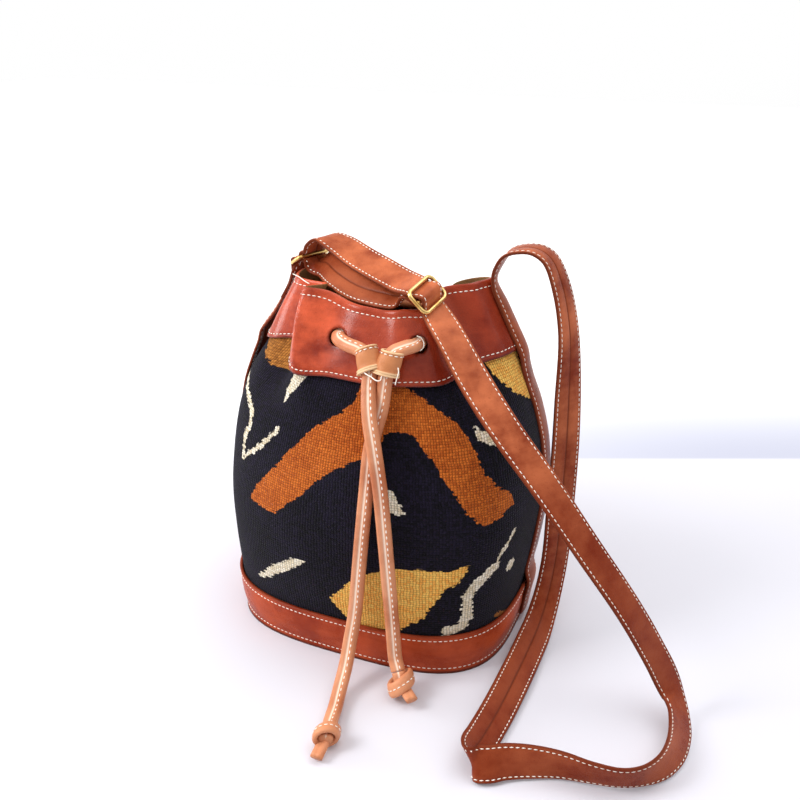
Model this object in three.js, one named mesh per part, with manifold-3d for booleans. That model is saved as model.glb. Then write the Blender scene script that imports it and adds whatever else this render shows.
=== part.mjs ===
// A drawstring bucket bag: a body of strip-woven mudcloth on a leather base, a pleated leather collar,
// a shoulder strap that is sewn up the right side, and a leather drawstring with two knotted ends.
// Millimetres, +Z up. The bag stands on z = 0, its front looks along -Y and its sides are at -X and +X.
// Angles round the bag are degrees from +X, so the front is at 270.
import * as THREE from 'three';
import { ParametricGeometry } from 'three/addons/geometries/ParametricGeometry.js';
import { mergeVertices } from 'three/addons/utils/BufferGeometryUtils.js';
import Module from 'manifold-3d';

const wasm = await Module();
wasm.setup();

// Driving sizes
const GAP = 0.3;
const BEND_ROOM = 0.8;
const LAP_GAP = 1;
const CLOTH = 1.6;
const LEATHER = 1.8;
const BASE_PANEL = 2;
const BAND_TOP = 27;
const COLLAR_BOTTOM = 169;
const RIM = 204;
const SEAM_LAP = 9;
const STRIP_WIDTH = 18.5;
const STRAP_THICKNESS = 2;
const WIRE = 2.2;
const RING_LENGTH = 26;
const RING_SPAN = 11.4;
const SLIDE_LENGTH = 24;
const SLIDE_SPAN = 16;
const CORD = 7;
const HOLE = 9.5;
const KEEPER_WALL = 1.4;
const KEEPER_HEIGHT = 7;
const KEEPER_ROOM = 0.8;
const KNOT_LENGTH = 12;
const KNOT_TAIL = 11;
const KNOT_TAIL_WIDTH = 5.4;

// How finely round shapes are divided
const ROUND = 76;
const CORD_SIDES = 8;
const WIRE_SIDES = 8;
const STRAP_STEPS_PER_ROW = 2;

// Half sizes of the outside of the cloth at each height; square is the power of the rounded outline
const SECTIONS = [
  { z: 0, left: 85, right: 79, front: 67, back: 62, square: 3.4 },
  { z: 27, left: 90, right: 83, front: 72, back: 68, square: 3.0 },
  { z: 60, left: 93, right: 88, front: 75, back: 71, square: 2.7 },
  { z: 92, left: 95, right: 91, front: 75, back: 71, square: 2.5 },
  { z: 125, left: 92, right: 88, front: 69, back: 65, square: 2.4 },
  { z: 150, left: 84, right: 80, front: 61, back: 56, square: 2.3 },
  { z: 170, left: 71, right: 71, front: 53, back: 46, square: 2.2 },
  { z: 188, left: 62, right: 62, front: 43, back: 36, square: 2.2 },
  { z: 204, left: 54, right: 54, front: 33, back: 27, square: 2.2 },
];

// Pleats of the gathered mouth: ridges stand out and valleys go in, from nothing at one height to full.
// Drift is how many degrees a pleat moves round for each millimetre below the rim
const PLEATS = [
  { at: 'front left ridge', angle: 225, drift: 0.34, spread: 10.5, depth: 9.5, from: 140, full: 205 },
  { at: 'left valley', angle: 209, drift: 0.23, spread: 10.5, depth: -13, from: 135, full: 168 },
  { at: 'front right valley', angle: 336, drift: 0, spread: 17, depth: -13, from: 130, full: 200 },
  { at: 'back right valley', angle: 30, drift: 0, spread: 14, depth: -8, from: 130, full: 200 },
  { at: 'back right ridge', angle: 54, drift: 0, spread: 12, depth: 5, from: 130, full: 200 },
  { at: 'back left valley', angle: 135, drift: 0, spread: 18, depth: -5, from: 130, full: 200 },
];

// The rim rides up at the sides, where the strap pulls, and sags at the front
const RIM_LIFTS = [
  { at: 'right side', angle: 0, spread: 40, lift: 9 },
  { at: 'left side', angle: 180, spread: 30, lift: 2 },
  { at: 'front', angle: 275, spread: 40, lift: -3 },
  { at: 'under the slide', angle: 318, spread: 16, lift: -4 },
  { at: 'front left corner', angle: 230, spread: 15, lift: 4.5 },
  { at: 'front right dip', angle: 288, spread: 12, lift: -1.5 },
  { at: 'back right dip', angle: 58, spread: 34, lift: -12 },
];
const LIFT_FROM = 110;
const LIFT_FULL = 195;

const vec = (x, y, z) => new THREE.Vector3(x, y, z);
const mix = THREE.MathUtils.lerp;
const rad = THREE.MathUtils.degToRad;
const ease = (from, full, z) => THREE.MathUtils.smoothstep(z, from, full);

// Signed difference of two angles in degrees, and a bell of a row's spread round its angle
const turn = (a, b) => THREE.MathUtils.euclideanModulo(a - b + 180, 360) - 180;
const bell = (angle, row) => Math.exp(-((turn(angle, row.angle) / row.spread) ** 2));

// One column of the section table at any height, by a cubic through the rows
function column(name, z) {
  const last = SECTIONS.length - 1;
  const slope = (k) => {
    const a = SECTIONS[Math.max(k - 1, 0)];
    const b = SECTIONS[Math.min(k + 1, last)];
    return (b[name] - a[name]) / (b.z - a.z);
  };
  let k = 0;
  while (k < last - 1 && z > SECTIONS[k + 1].z) k += 1;
  const low = SECTIONS[k];
  const high = SECTIONS[k + 1];
  const height = high.z - low.z;
  const t = (z - low.z) / height;
  const rise = low[name] * (1 + 2 * t) * (1 - t) ** 2 + high[name] * t * t * (3 - 2 * t);
  return rise + height * (slope(k) * t * (1 - t) ** 2 + slope(k + 1) * t * t * (t - 1));
}

// Distance from the bag's axis to the outside of the cloth
function radius(angle, z) {
  const across = Math.cos(rad(angle));
  const deep = Math.sin(rad(angle));
  const width = column(across < 0 ? 'left' : 'right', z);
  const depth = column(deep < 0 ? 'front' : 'back', z);
  const power = column('square', z);
  let r = (Math.abs(across / width) ** power + Math.abs(deep / depth) ** power) ** (-1 / power);
  for (const row of PLEATS) {
    r += row.depth * bell(angle - row.drift * (RIM - z), row) * ease(row.from, row.full, z);
  }
  return r;
}

// A point on the bag's skin, moved outwards by a distance
function skin(angle, z, out = 0) {
  const r = radius(angle, z) + out;
  let lift = 0;
  for (const row of RIM_LIFTS) lift += row.lift * bell(angle, row);
  return vec(r * Math.cos(rad(angle)), r * Math.sin(rad(angle)), z + lift * ease(LIFT_FROM, LIFT_FULL, z));
}

// A closed body from a geometry: shared corners merged, empty triangles dropped, faces turned outwards
function closed(geometry) {
  geometry.deleteAttribute('normal');
  geometry.deleteAttribute('uv');
  const merged = mergeVertices(geometry, 1e-4);
  const corner = (k) => new THREE.Vector3().fromBufferAttribute(merged.attributes.position, k);
  const index = [];
  let volume = 0;
  for (let k = 0; k < merged.index.count; k += 3) {
    const [a, b, c] = [0, 1, 2].map((n) => merged.index.getX(k + n));
    if (a === b || b === c || c === a) continue;
    index.push(a, b, c);
    volume += corner(a).dot(corner(b).cross(corner(c)));
  }
  merged.setIndex(volume < 0 ? index.reverse() : index);
  merged.computeVertexNormals();
  return merged;
}

// A closed surface from a function of two whole numbers: column 0 meets the last one, and so do the rows
function woven(columns, rows, point) {
  const place = (u, v, target) => target.copy(point(Math.round(u * columns), Math.round(v * rows)));
  return closed(new ParametricGeometry(place, columns, rows));
}

function toSolid(geometry) {
  const vertProperties = new Float32Array(geometry.attributes.position.array);
  const triVerts = new Uint32Array(geometry.index.array);
  return new wasm.Manifold(new wasm.Mesh({ numProp: 3, vertProperties, triVerts }));
}

function toGeometry(solid) {
  const mesh = solid.getMesh();
  const geometry = new THREE.BufferGeometry();
  geometry.setAttribute('position', new THREE.BufferAttribute(mesh.vertProperties, 3));
  geometry.setIndex(new THREE.BufferAttribute(mesh.triVerts, 1));
  geometry.computeVertexNormals();
  return geometry;
}

// A wall that follows the skin through rising levels, between two distances out from it
function wall(levels, inner, outer) {
  const loop = [
    ...levels.map((z) => ({ z, out: outer })),
    ...levels.toReversed().map((z) => ({ z, out: inner })),
  ];
  return woven(ROUND, loop.length, (column, row) => {
    const edge = loop[row % loop.length];
    return skin((360 * (column % ROUND)) / ROUND, edge.z, edge.out);
  });
}

// A flat strip through rows of a centre and the direction across it, with square edges and flat ends
function strip(rows, width, thickness, stepsPerRow) {
  const centres = new THREE.CatmullRomCurve3(rows.map((row) => row.at));
  const acrosses = new THREE.CatmullRomCurve3(rows.map((row) => row.across));
  const steps = (rows.length - 1) * stepsPerRow;
  const corners = [[-1, -1], [1, -1], [1, 1], [-1, 1]];
  return woven(corners.length, steps + 2, (column, row) => {
    const t = THREE.MathUtils.clamp(row - 1, 0, steps) / steps;
    const centre = centres.getPoint(t);
    if (row === 0 || row === steps + 2) return centre;
    const along = centres.getTangent(t);
    const across = acrosses.getPoint(t).addScaledVector(along, -acrosses.getPoint(t).dot(along)).normalize();
    const up = along.clone().cross(across);
    const [side, face] = corners[column % corners.length];
    return centre.addScaledVector(across, (side * width) / 2).addScaledVector(up, (face * thickness) / 2);
  });
}

// A round cord along a smooth route
function cord(points, diameter, steps) {
  const section = new THREE.Shape();
  for (let k = 0; k < CORD_SIDES; k += 1) {
    const angle = rad((360 * k) / CORD_SIDES);
    const corner = [(diameter / 2) * Math.cos(angle), (diameter / 2) * Math.sin(angle)];
    if (k === 0) section.moveTo(...corner);
    else section.lineTo(...corner);
  }
  const extrudePath = new THREE.CatmullRomCurve3(points);
  return closed(new THREE.ExtrudeGeometry(section, { steps, extrudePath, bevelEnabled: false }));
}

// A wire bent into a rectangle with round corners, in a frame of centre, long and short directions
function wireLoop(frame, length, span, wire) {
  const bend = wire;
  const quarters = [[1, 1], [-1, 1], [-1, -1], [1, -1]];
  const perCorner = 4;
  const count = quarters.length * perCorner;
  const flat = frame.long.clone().cross(frame.short);
  return woven(WIRE_SIDES, count, (column, row) => {
    const corner = Math.floor((row % count) / perCorner);
    const [sx, sy] = quarters[corner];
    const angle = rad(90 * corner + (90 * ((row % count) % perCorner)) / (perCorner - 1));
    const out = vec(0, 0, 0)
      .addScaledVector(frame.long, Math.cos(angle))
      .addScaledVector(frame.short, Math.sin(angle));
    const round = rad((360 * (column % WIRE_SIDES)) / WIRE_SIDES);
    return frame.centre.clone()
      .addScaledVector(frame.long, sx * (length / 2 - wire / 2 - bend))
      .addScaledVector(frame.short, sy * (span / 2 - wire / 2 - bend))
      .addScaledVector(out, bend + (wire / 2) * Math.cos(round))
      .addScaledVector(flat, (wire / 2) * Math.sin(round));
  });
}

// A shape modelled round Z, moved to a place with its Z turned along a direction
function placed(geometry, at, direction) {
  const facing = new THREE.Quaternion().setFromUnitVectors(vec(0, 0, 1), direction.clone().normalize());
  return geometry.applyQuaternion(facing).translate(at.x, at.y, at.z);
}

const bag = new THREE.Group();

function add(name, geometry, color, roughness, metalness = 0) {
  const mesh = new THREE.Mesh(geometry, new THREE.MeshStandardMaterial({ color, roughness, metalness }));
  mesh.name = name;
  bag.add(mesh);
}

const COLLAR_RED = 0x8e3a22;
const BASE_BROWN = 0x8a4630;
const STRAP_BROWN = 0x93492a;
const CORD_TAN = 0xc08a5c;
const CLOTH_BLACK = 0x17161d;
const BRASS = 0xc9a24a;

// Distances out from the cloth: the lapped leather lies on it, and strips lie on the leather
const lapInner = LAP_GAP;
const lapOuter = LAP_GAP + LEATHER;
const stripOnCloth = GAP + STRAP_THICKNESS / 2;
const stripOnLeather = lapOuter + stripOnCloth + 2 * GAP;

// Where a side strip lies on leather, 1, and where it lies on the cloth, 0; and the heights of its rows
const onLeather = (z) => (
  1 - ease(BAND_TOP + 1, BAND_TOP + 10, z) + ease(COLLAR_BOTTOM - 13, COLLAR_BOTTOM - 3, z)
);
const RIGHT_STRIP_ANGLE = 6;
const SEWN_HEIGHTS = [5, 16, 28, 37, 50, 70, 95, 120, 140, 153, 160, 167, 178, 190];

// Base: a flat bottom inside an upright band
function basePanel() {
  const loop = [
    { z: 0, size: 0 },
    { z: 0, size: 1 },
    { z: BASE_PANEL, size: 1 },
    { z: BASE_PANEL, size: 0 },
  ];
  return woven(ROUND, loop.length, (column, row) => {
    const edge = loop[row % loop.length];
    const point = skin((360 * (column % ROUND)) / ROUND, 0);
    return vec(point.x * edge.size, point.y * edge.size, edge.z);
  });
}
add('base_panel', basePanel(), BASE_BROWN, 0.5);
// Lapped walls share their levels in the lap, so they stay parallel there
const BAND_LEVELS = [0, BAND_TOP - 2 * SEAM_LAP, BAND_TOP - SEAM_LAP, BAND_TOP];
const COLLAR_LEVELS = [COLLAR_BOTTOM, COLLAR_BOTTOM + SEAM_LAP, 187, 196, RIM];
const CLOTH_LEVELS = [
  ...BAND_LEVELS.slice(2), 45, 65, 92, 115, 135, 150, 160, ...COLLAR_LEVELS.slice(0, 2),
];
add('base_band', wall(BAND_LEVELS, lapInner, lapOuter), BASE_BROWN, 0.4);
add('body_cloth', wall(CLOTH_LEVELS, -CLOTH, 0), CLOTH_BLACK, 0.95);

// Collar, with a round hole at the front for each end of the drawstring
const HOLES = {
  left: { angle: 254, z: 187.5 },
  right: { angle: 308, z: 188.5 },
};
function collar() {
  let solid = toSolid(wall(COLLAR_LEVELS, lapInner, lapOuter));
  for (const hole of Object.values(HOLES)) {
    const at = skin(hole.angle, hole.z, LEATHER);
    const punch = new THREE.CylinderGeometry(HOLE / 2, HOLE / 2, 6 * LEATHER, 16).rotateX(Math.PI / 2);
    const outwards = vec(Math.cos(rad(hole.angle)), Math.sin(rad(hole.angle)), 0.4);
    solid = solid.subtract(toSolid(closed(placed(punch, at, outwards))));
  }
  return toGeometry(solid);
}
add('collar', collar(), COLLAR_RED, 0.35);

// A row of a strip that lies flat on the skin at an angle and a height
function sewnRow(angle, z, out) {
  const side = skin(angle - 4, z).sub(skin(angle + 4, z));
  return { at: skin(angle, z, out), across: vec(side.x, side.y, 0).normalize() };
}

// The ring lies over the left of the rim, across the strap, and tips down to the left
const RING = {
  centre: vec(-56.6, 8.7, 210.5),
  long: vec(0.36, 0.93, 0).normalize(),
  short: vec(-0.785, 0.304, -0.55).normalize(),
};
const ringBar = (side) => RING.centre.clone().addScaledVector(RING.short, (side * (RING_SPAN - WIRE)) / 2);
add('strap_ring', wireLoop(RING, RING_LENGTH, RING_SPAN, WIRE), BRASS, 0.3, 1);

// A half turn of a strip round a bar, from outside over the top to inside
function roundBar(bar, reach, across, angles) {
  const inwards = vec(RING.long.y, -RING.long.x, 0);
  return angles.map((angle) => ({
    at: bar.clone().addScaledVector(inwards, reach * Math.cos(rad(angle)))
      .add(vec(0, 0, reach * Math.sin(rad(angle)))),
    across,
  }));
}

// Left side strip: up from the foot, over the ring's outer bar, and its tail down behind itself
function leftStrip() {
  const angleAt = (z) => mix(186, 172, ease(140, RIM, z));
  const bulge = (z) => 3 * Math.exp(-(((z - 165) / 22) ** 2));
  const row = (z, out) => sewnRow(angleAt(z), z, out + bulge(z));
  const tailOut = stripOnLeather;
  const outerOut = tailOut + LEATHER + GAP;
  const outAt = (z) => mix(stripOnCloth, z > COLLAR_BOTTOM / 2 ? outerOut : tailOut, onLeather(z));
  const up = [...SEWN_HEIGHTS, 199].map((z) => row(z, outAt(z)));
  const reach = WIRE / 2 + 2 * GAP + LEATHER / 2;
  const loop = roundBar(ringBar(1), reach, RING.long, [180, 150, 120, 90, 60, 30, 0, -30]);
  const tail = [202, 194, 184].map((z) => row(z, tailOut + 1.5 * ease(190, RIM, z)));
  return strip([...up, ...loop, ...tail], STRIP_WIDTH, LEATHER, 2);
}
add('side_strip_left', leftStrip(), STRAP_BROWN, 0.4);

// The slide at the front right of the rim: long across the strap, short along it
const SLIDE = {
  centre: vec(32, -30, 209.8),
  long: vec(-0.17, -0.96, -0.21).normalize(),
  short: vec(-0.7, -0.03, 0.71),
};
SLIDE.short.addScaledVector(SLIDE.long, -SLIDE.short.dot(SLIDE.long)).normalize();
SLIDE.up = SLIDE.short.clone().cross(SLIDE.long);
function slide() {
  const bar = placed(new THREE.CylinderGeometry(WIRE / 2, WIRE / 2, SLIDE_LENGTH - WIRE, WIRE_SIDES)
    .rotateX(Math.PI / 2), SLIDE.centre, SLIDE.long);
  return toGeometry(toSolid(wireLoop(SLIDE, SLIDE_LENGTH, SLIDE_SPAN, WIRE)).add(toSolid(closed(bar))));
}
add('strap_slide', slide(), BRASS, 0.3, 1);

// The strap's free run, from the right of the rim to the slide: centre, and the direction across it.
// It arches over to the right, drops to the table, turns back at the front and climbs to the slide.
const STRAP_RUN = [
  { x: 59.5, y: 5.5, z: 219, ax: 0.05, ay: -1, az: 0 },
  { x: 63.5, y: 5.5, z: 225.5, ax: 0, ay: -1, az: 0 },
  { x: 70, y: 6, z: 228.5, ax: 0, ay: -1, az: 0 },
  { x: 78, y: 7, z: 228.5, ax: -0.1, ay: -1, az: 0 },
  { x: 85, y: 8.5, z: 224, ax: -0.15, ay: -1, az: 0 },
  { x: 91.5, y: 10, z: 210, ax: -0.25, ay: -0.97, az: 0 },
  { x: 97, y: 11.5, z: 185, ax: -0.35, ay: -0.94, az: 0 },
  { x: 99.5, y: 11.5, z: 146, ax: -0.6, ay: -0.8, az: 0 },
  { x: 100.5, y: 11, z: 115, ax: -0.68, ay: -0.73, az: 0 },
  { x: 100.5, y: 10.5, z: 83, ax: -0.72, ay: -0.69, az: 0 },
  { x: 100, y: 10, z: 45, ax: -0.72, ay: -0.69, az: 0.1 },
  { x: 98.5, y: 4, z: 22, ax: -0.75, ay: -0.6, az: 0.25 },
  { x: 97.5, y: -10, z: 9, ax: -0.8, ay: -0.45, az: 0.35 },
  { x: 97, y: -32, z: 6, ax: -0.87, ay: -0.3, az: 0.38 },
  { x: 96.5, y: -60, z: 6, ax: -0.88, ay: -0.2, az: 0.42 },
  { x: 95.5, y: -88, z: 6.5, ax: -0.86, ay: -0.1, az: 0.5 },
  { x: 94, y: -110, z: 8, ax: -0.78, ay: 0, az: 0.62 },
  { x: 93, y: -121, z: 9.4, ax: -0.62, ay: 0.15, az: 0.75 },
  { x: 96, y: -127.5, z: 9.8, ax: -0.5, ay: 0.3, az: 0.8 },
  { x: 102.5, y: -126, z: 10, ax: -0.38, ay: 0.33, az: 0.86 },
  { x: 109.5, y: -121.5, z: 10, ax: -0.2, ay: 0.32, az: 0.93 },
  { x: 120, y: -117, z: 10, ax: -0.1, ay: 0.2, az: 0.97 },
  { x: 135, y: -113, z: 10, ax: 0, ay: -0.05, az: 1 },
  { x: 150, y: -112, z: 10, ax: 0, ay: -0.25, az: 0.97 },
  { x: 163, y: -110, z: 10, ax: 0, ay: -0.33, az: 0.94 },
  { x: 172, y: -105, z: 10, ax: -0.08, ay: -0.36, az: 0.93 },
  { x: 180, y: -95.5, z: 10, ax: -0.28, ay: -0.36, az: 0.89 },
  { x: 184.5, y: -83, z: 9.6, ax: -0.45, ay: -0.35, az: 0.82 },
  { x: 185.5, y: -68.5, z: 9, ax: -0.58, ay: -0.35, az: 0.74 },
  { x: 183.5, y: -55.5, z: 10, ax: -0.62, ay: -0.45, az: 0.64 },
  { x: 178.5, y: -48, z: 16.5, ax: -0.6, ay: -0.63, az: 0.48 },
  { x: 167.5, y: -49, z: 37.5, ax: -0.47, ay: -0.86, az: 0.15 },
  { x: 151.5, y: -55, z: 67, ax: -0.36, ay: -0.92, az: -0.1 },
  { x: 128.5, y: -59.5, z: 100.5, ax: -0.32, ay: -0.9, az: -0.25 },
  { x: 107.5, y: -59, z: 127.5, ax: -0.34, ay: -0.89, az: -0.3 },
  { x: 85.5, y: -55.5, z: 151.5, ax: -0.4, ay: -0.86, az: -0.32 },
  { x: 65.5, y: -48, z: 172.5, ax: -0.45, ay: -0.83, az: -0.33 },
  { x: 47.5, y: -38, z: 192, ax: -0.32, ay: -0.9, az: -0.28 },
];

// From the slide the strap goes over the mouth to the ring and back under itself to the slide
const OVER_MOUTH = [
  { x: 14, y: -21, z: 212.5, ax: -0.22, ay: -0.9, az: -0.33 },
  { x: -3, y: -12, z: 215, ax: -0.25, ay: -0.87, az: -0.4 },
  { x: -19, y: -3.5, z: 217.8, ax: -0.25, ay: -0.87, az: -0.4 },
  { x: -33, y: 3.5, z: 221.6, ax: -0.28, ay: -0.91, az: -0.28 },
  { x: -44, y: 6.5, z: 223.6, ax: -0.36, ay: -0.93, az: -0.04 },
  { x: -49.6, y: 6.6, z: 220, ax: -0.36, ay: -0.93, az: 0 },
];
const UNDER_RETURN = [
  { x: -47.5, y: 5.5, z: 208.5, ax: -0.36, ay: -0.93, az: 0 },
  { x: -41, y: 1.5, z: 208.4, ax: -0.12, ay: -0.82, az: -0.56 },
  { x: -30.5, y: -6.8, z: 208, ax: 0, ay: -0.78, az: -0.62 },
  { x: -11.5, y: -18, z: 205.2, ax: 0.15, ay: -0.76, az: -0.63 },
  { x: 4.6, y: -21.6, z: 204.2, ax: 0.1, ay: -0.8, az: -0.58 },
  { x: 15, y: -23.5, z: 204.4, ax: -0.1, ay: -0.85, az: -0.4 },
];

function shoulderStrap() {
  const fromTable = (table) => table.map((row) => ({
    at: vec(row.x, row.y, row.z),
    across: vec(row.ax, row.ay, row.az).normalize(),
  }));
  const sewn = [...SEWN_HEIGHTS, RIM - 1].map((z) => (
    sewnRow(RIGHT_STRIP_ANGLE, z, mix(stripOnCloth, stripOnLeather, onLeather(z)))
  ));
  const past = WIRE / 2 + BEND_ROOM + STRAP_THICKNESS / 2;
  const atSlide = (along, up) => ({
    at: SLIDE.centre.clone().addScaledVector(SLIDE.short, along).addScaledVector(SLIDE.up, up),
    across: SLIDE.long,
  });
  const side = SLIDE_SPAN / 2 - WIRE / 2;
  const throughSlide = [-1, -0.75, -0.5, -0.25, 0, 0.25, 0.5, 0.75, 1].map((share) => (
    atSlide(share * side, past * Math.cos(Math.PI * share))
  ));
  const roundRing = roundBar(
    ringBar(-1), past - GAP, RING.long.clone().negate(), [70, 100, 130, 160, 190, 220, 250, 280, 310],
  );
  const end = [atSlide(side, -past - STRAP_THICKNESS - 3 * GAP), atSlide(0.5, -past - GAP)];
  const rows = [
    ...sewn, ...fromTable(STRAP_RUN), ...throughSlide, ...fromTable(OVER_MOUTH), ...roundRing,
    ...fromTable(UNDER_RETURN), ...end,
  ];
  return strip(rows, STRIP_WIDTH, STRAP_THICKNESS, STRAP_STEPS_PER_ROW);
}
add('shoulder_strap', shoulderStrap(), STRAP_BROWN, 0.35);

// The drawstring: two ends out of the holes, through the keeper and down the front to a knot each
const DRAWSTRING_LEFT = [
  { x: -10.6, y: -36.5, z: 183.5 },
  { x: -12.4, y: -44, z: 186 },
  { x: -10.5, y: -49.5, z: 186.8 },
  { x: -3.5, y: -53, z: 186.5 },
  { x: 3.5, y: -53.6, z: 186.6 },
  { x: 8.6, y: -54.6, z: 184.4 },
  { x: 11.8, y: -57.8, z: 176.6 },
  { x: 13.4, y: -63.5, z: 167 },
  { x: 17, y: -71, z: 156 },
  { x: 21.8, y: -76, z: 140 },
  { x: 26, y: -78.5, z: 118 },
  { x: 28.6, y: -80, z: 96 },
  { x: 30.6, y: -80.3, z: 72 },
  { x: 33, y: -81, z: 46 },
  { x: 34.2, y: -81.3, z: 31 },
];
const DRAWSTRING_RIGHT = [
  { x: 28.3, y: -31.5, z: 184 },
  { x: 30.6, y: -39, z: 186.4 },
  { x: 30.5, y: -45.5, z: 187.3 },
  { x: 27, y: -50.8, z: 187 },
  { x: 22.5, y: -54.3, z: 184.6 },
  { x: 20.7, y: -57.3, z: 176.4 },
  { x: 20.4, y: -59.8, z: 168 },
  { x: 20, y: -63, z: 157.5 },
  { x: 18.3, y: -66.8, z: 147 },
  { x: 17, y: -70.3, z: 137 },
  { x: 16.8, y: -75.8, z: 116 },
  { x: 15.5, y: -80, z: 88 },
  { x: 13, y: -80.2, z: 62 },
  { x: 11, y: -81, z: 40 },
  { x: 9.5, y: -84.5, z: 24 },
  { x: 10.2, y: -92, z: 13.5 },
  { x: 12, y: -104, z: 6.5 },
  { x: 14.3, y: -113.5, z: 4.4 },
];
// Inside the collar the drawstring goes round by the left, the back and the right
const DRAWSTRING_INSIDE = [
  { x: -12, y: -23, z: 182 },
  { x: -21, y: -18.5, z: 183 },
  { x: -33, y: -16, z: 184 },
  { x: -44, y: -9, z: 184.5 },
  { x: -51, y: 2, z: 184.5 },
  { x: -49, y: 13, z: 184.5 },
  { x: -40, y: 20.5, z: 184 },
  { x: -28, y: 24, z: 184 },
  { x: -12, y: 27.5, z: 184 },
  { x: 4, y: 29, z: 184 },
  { x: 18, y: 29, z: 184.5 },
  { x: 30, y: 23, z: 186 },
  { x: 42, y: 14, z: 189 },
  { x: 49, y: 3, z: 190 },
  { x: 45, y: -8, z: 188 },
  { x: 36, y: -13.5, z: 185 },
  { x: 29, y: -18, z: 183 },
];
const KNOTS = {
  right: {
    at: vec(41.5, -88, 8.6),
    wrap: 4.8,
    along: vec(0.45, -0.45, -0.77).normalize(),
    tail: vec(0.75, -0.65, -0.1).normalize(),
  },
  left: {
    at: vec(21, -136.5, 7.9),
    wrap: 3.9,
    along: vec(0.3, -0.93, 0.2).normalize(),
    tail: vec(0, -0.95, -0.3).normalize(),
  },
};
const route = (table) => table.map((row) => vec(row.x, row.y, row.z));

// A cord comes straight into its knot, and stops a gap short of the knot's flat end
const intoKnot = (knot) => [CORD + GAP, GAP].map((away) => (
  knot.at.clone().addScaledVector(knot.along, -KNOT_LENGTH / 2 - away)
));

// A place behind the first row of a route, straight on
function behind(table, distance) {
  const [first, second] = route(table.slice(0, 2));
  return first.clone().addScaledVector(second.sub(first).normalize(), -distance);
}
const insideRoute = [
  behind(DRAWSTRING_LEFT, GAP),
  behind(DRAWSTRING_LEFT, CORD),
  ...route(DRAWSTRING_INSIDE),
  behind(DRAWSTRING_RIGHT, CORD),
  behind(DRAWSTRING_RIGHT, GAP),
];
add('drawstring_left', cord([...route(DRAWSTRING_LEFT), ...intoKnot(KNOTS.right)], CORD, 36), CORD_TAN, 0.5);
add('drawstring_right', cord([...route(DRAWSTRING_RIGHT), ...intoKnot(KNOTS.left)], CORD, 40), CORD_TAN, 0.5);
add('drawstring_inside', cord(insideRoute, CORD, 34), CORD_TAN, 0.5);

// Keeper: two short tubes side by side with a web between them, one on each cord
function keeper() {
  const inner = CORD / 2 + KEEPER_ROOM;
  const outer = inner + KEEPER_WALL;
  const half = KEEPER_HEIGHT / 2;
  const corners = [[inner, -half], [outer, -half], [outer, half], [inner, half], [inner, -half]];
  const profile = corners.map(([r, z]) => new THREE.Vector2(r, z));
  const middles = [];
  const tubes = [DRAWSTRING_LEFT.slice(5, 7), DRAWSTRING_RIGHT.slice(4, 6)].map((table) => {
    const [from, to] = route(table);
    const middle = from.clone().lerp(to, 0.5);
    middles.push(middle);
    const tube = new THREE.LatheGeometry(profile, 16).rotateX(Math.PI / 2);
    return toSolid(closed(placed(tube, middle, to.sub(from))));
  });
  const web = new THREE.BoxGeometry(2 * KEEPER_WALL - 2 * GAP, 2 * KEEPER_WALL, KEEPER_HEIGHT - 2);
  const webAt = middles[0].lerp(middles[1], 0.5);
  const joint = toSolid(closed(placed(web, webAt, vec(0, 0.35, 0.94))));
  return toGeometry(tubes[0].add(tubes[1]).add(joint));
}
add('cord_keeper', keeper(), CORD_TAN, 0.5);

// A knot: a wrap of the cord round itself, and the short tail that comes out of it
function knot({ at, wrap, along, tail }) {
  const rod = (wide, long) => (
    new THREE.CylinderGeometry(wide / 2, wide / 2, long, CORD_SIDES).rotateX(Math.PI / 2)
  );
  const turnOfCord = placed(new THREE.TorusGeometry(wrap, CORD / 2, 8, 14), at, along);
  const core = placed(rod(CORD, KNOT_LENGTH), at, along);
  const end = placed(rod(KNOT_TAIL_WIDTH, KNOT_TAIL), at.clone().addScaledVector(tail, KNOT_TAIL / 2), tail);
  return toGeometry([turnOfCord, core, end]
    .map((piece) => toSolid(closed(piece)))
    .reduce((sum, piece) => sum.add(piece)));
}
add('knot_left', knot(KNOTS.left), CORD_TAN, 0.5);
add('knot_right', knot(KNOTS.right), CORD_TAN, 0.5);

export default bag;
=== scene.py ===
import math

import bmesh
import bpy
import numpy as np
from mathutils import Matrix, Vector


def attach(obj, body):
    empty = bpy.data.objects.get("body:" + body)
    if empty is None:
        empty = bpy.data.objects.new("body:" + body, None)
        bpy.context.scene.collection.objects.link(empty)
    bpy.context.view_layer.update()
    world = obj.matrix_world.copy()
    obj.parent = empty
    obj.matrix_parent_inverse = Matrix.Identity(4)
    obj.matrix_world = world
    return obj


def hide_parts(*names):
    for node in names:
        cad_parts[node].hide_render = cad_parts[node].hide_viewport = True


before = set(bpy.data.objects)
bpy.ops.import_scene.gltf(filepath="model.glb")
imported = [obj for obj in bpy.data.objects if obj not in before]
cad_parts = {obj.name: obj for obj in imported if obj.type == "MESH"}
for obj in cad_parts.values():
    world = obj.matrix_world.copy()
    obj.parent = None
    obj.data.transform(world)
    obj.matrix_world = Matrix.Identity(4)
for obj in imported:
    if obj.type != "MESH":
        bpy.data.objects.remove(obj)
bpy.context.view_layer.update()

# A drawstring bucket bag. Tables and sizes are in millimetres and degrees, and MM turns them into metres.
# Angles go round the bag from +X, so its front is at 270.
MM = 0.001

# Camera
LENS_MM = 41.085
CAMERA_AT = (190.8, -448.1, 350.0)
CAMERA_TILT = 66.0
CAMERA_HEADING = 22.6

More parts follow.
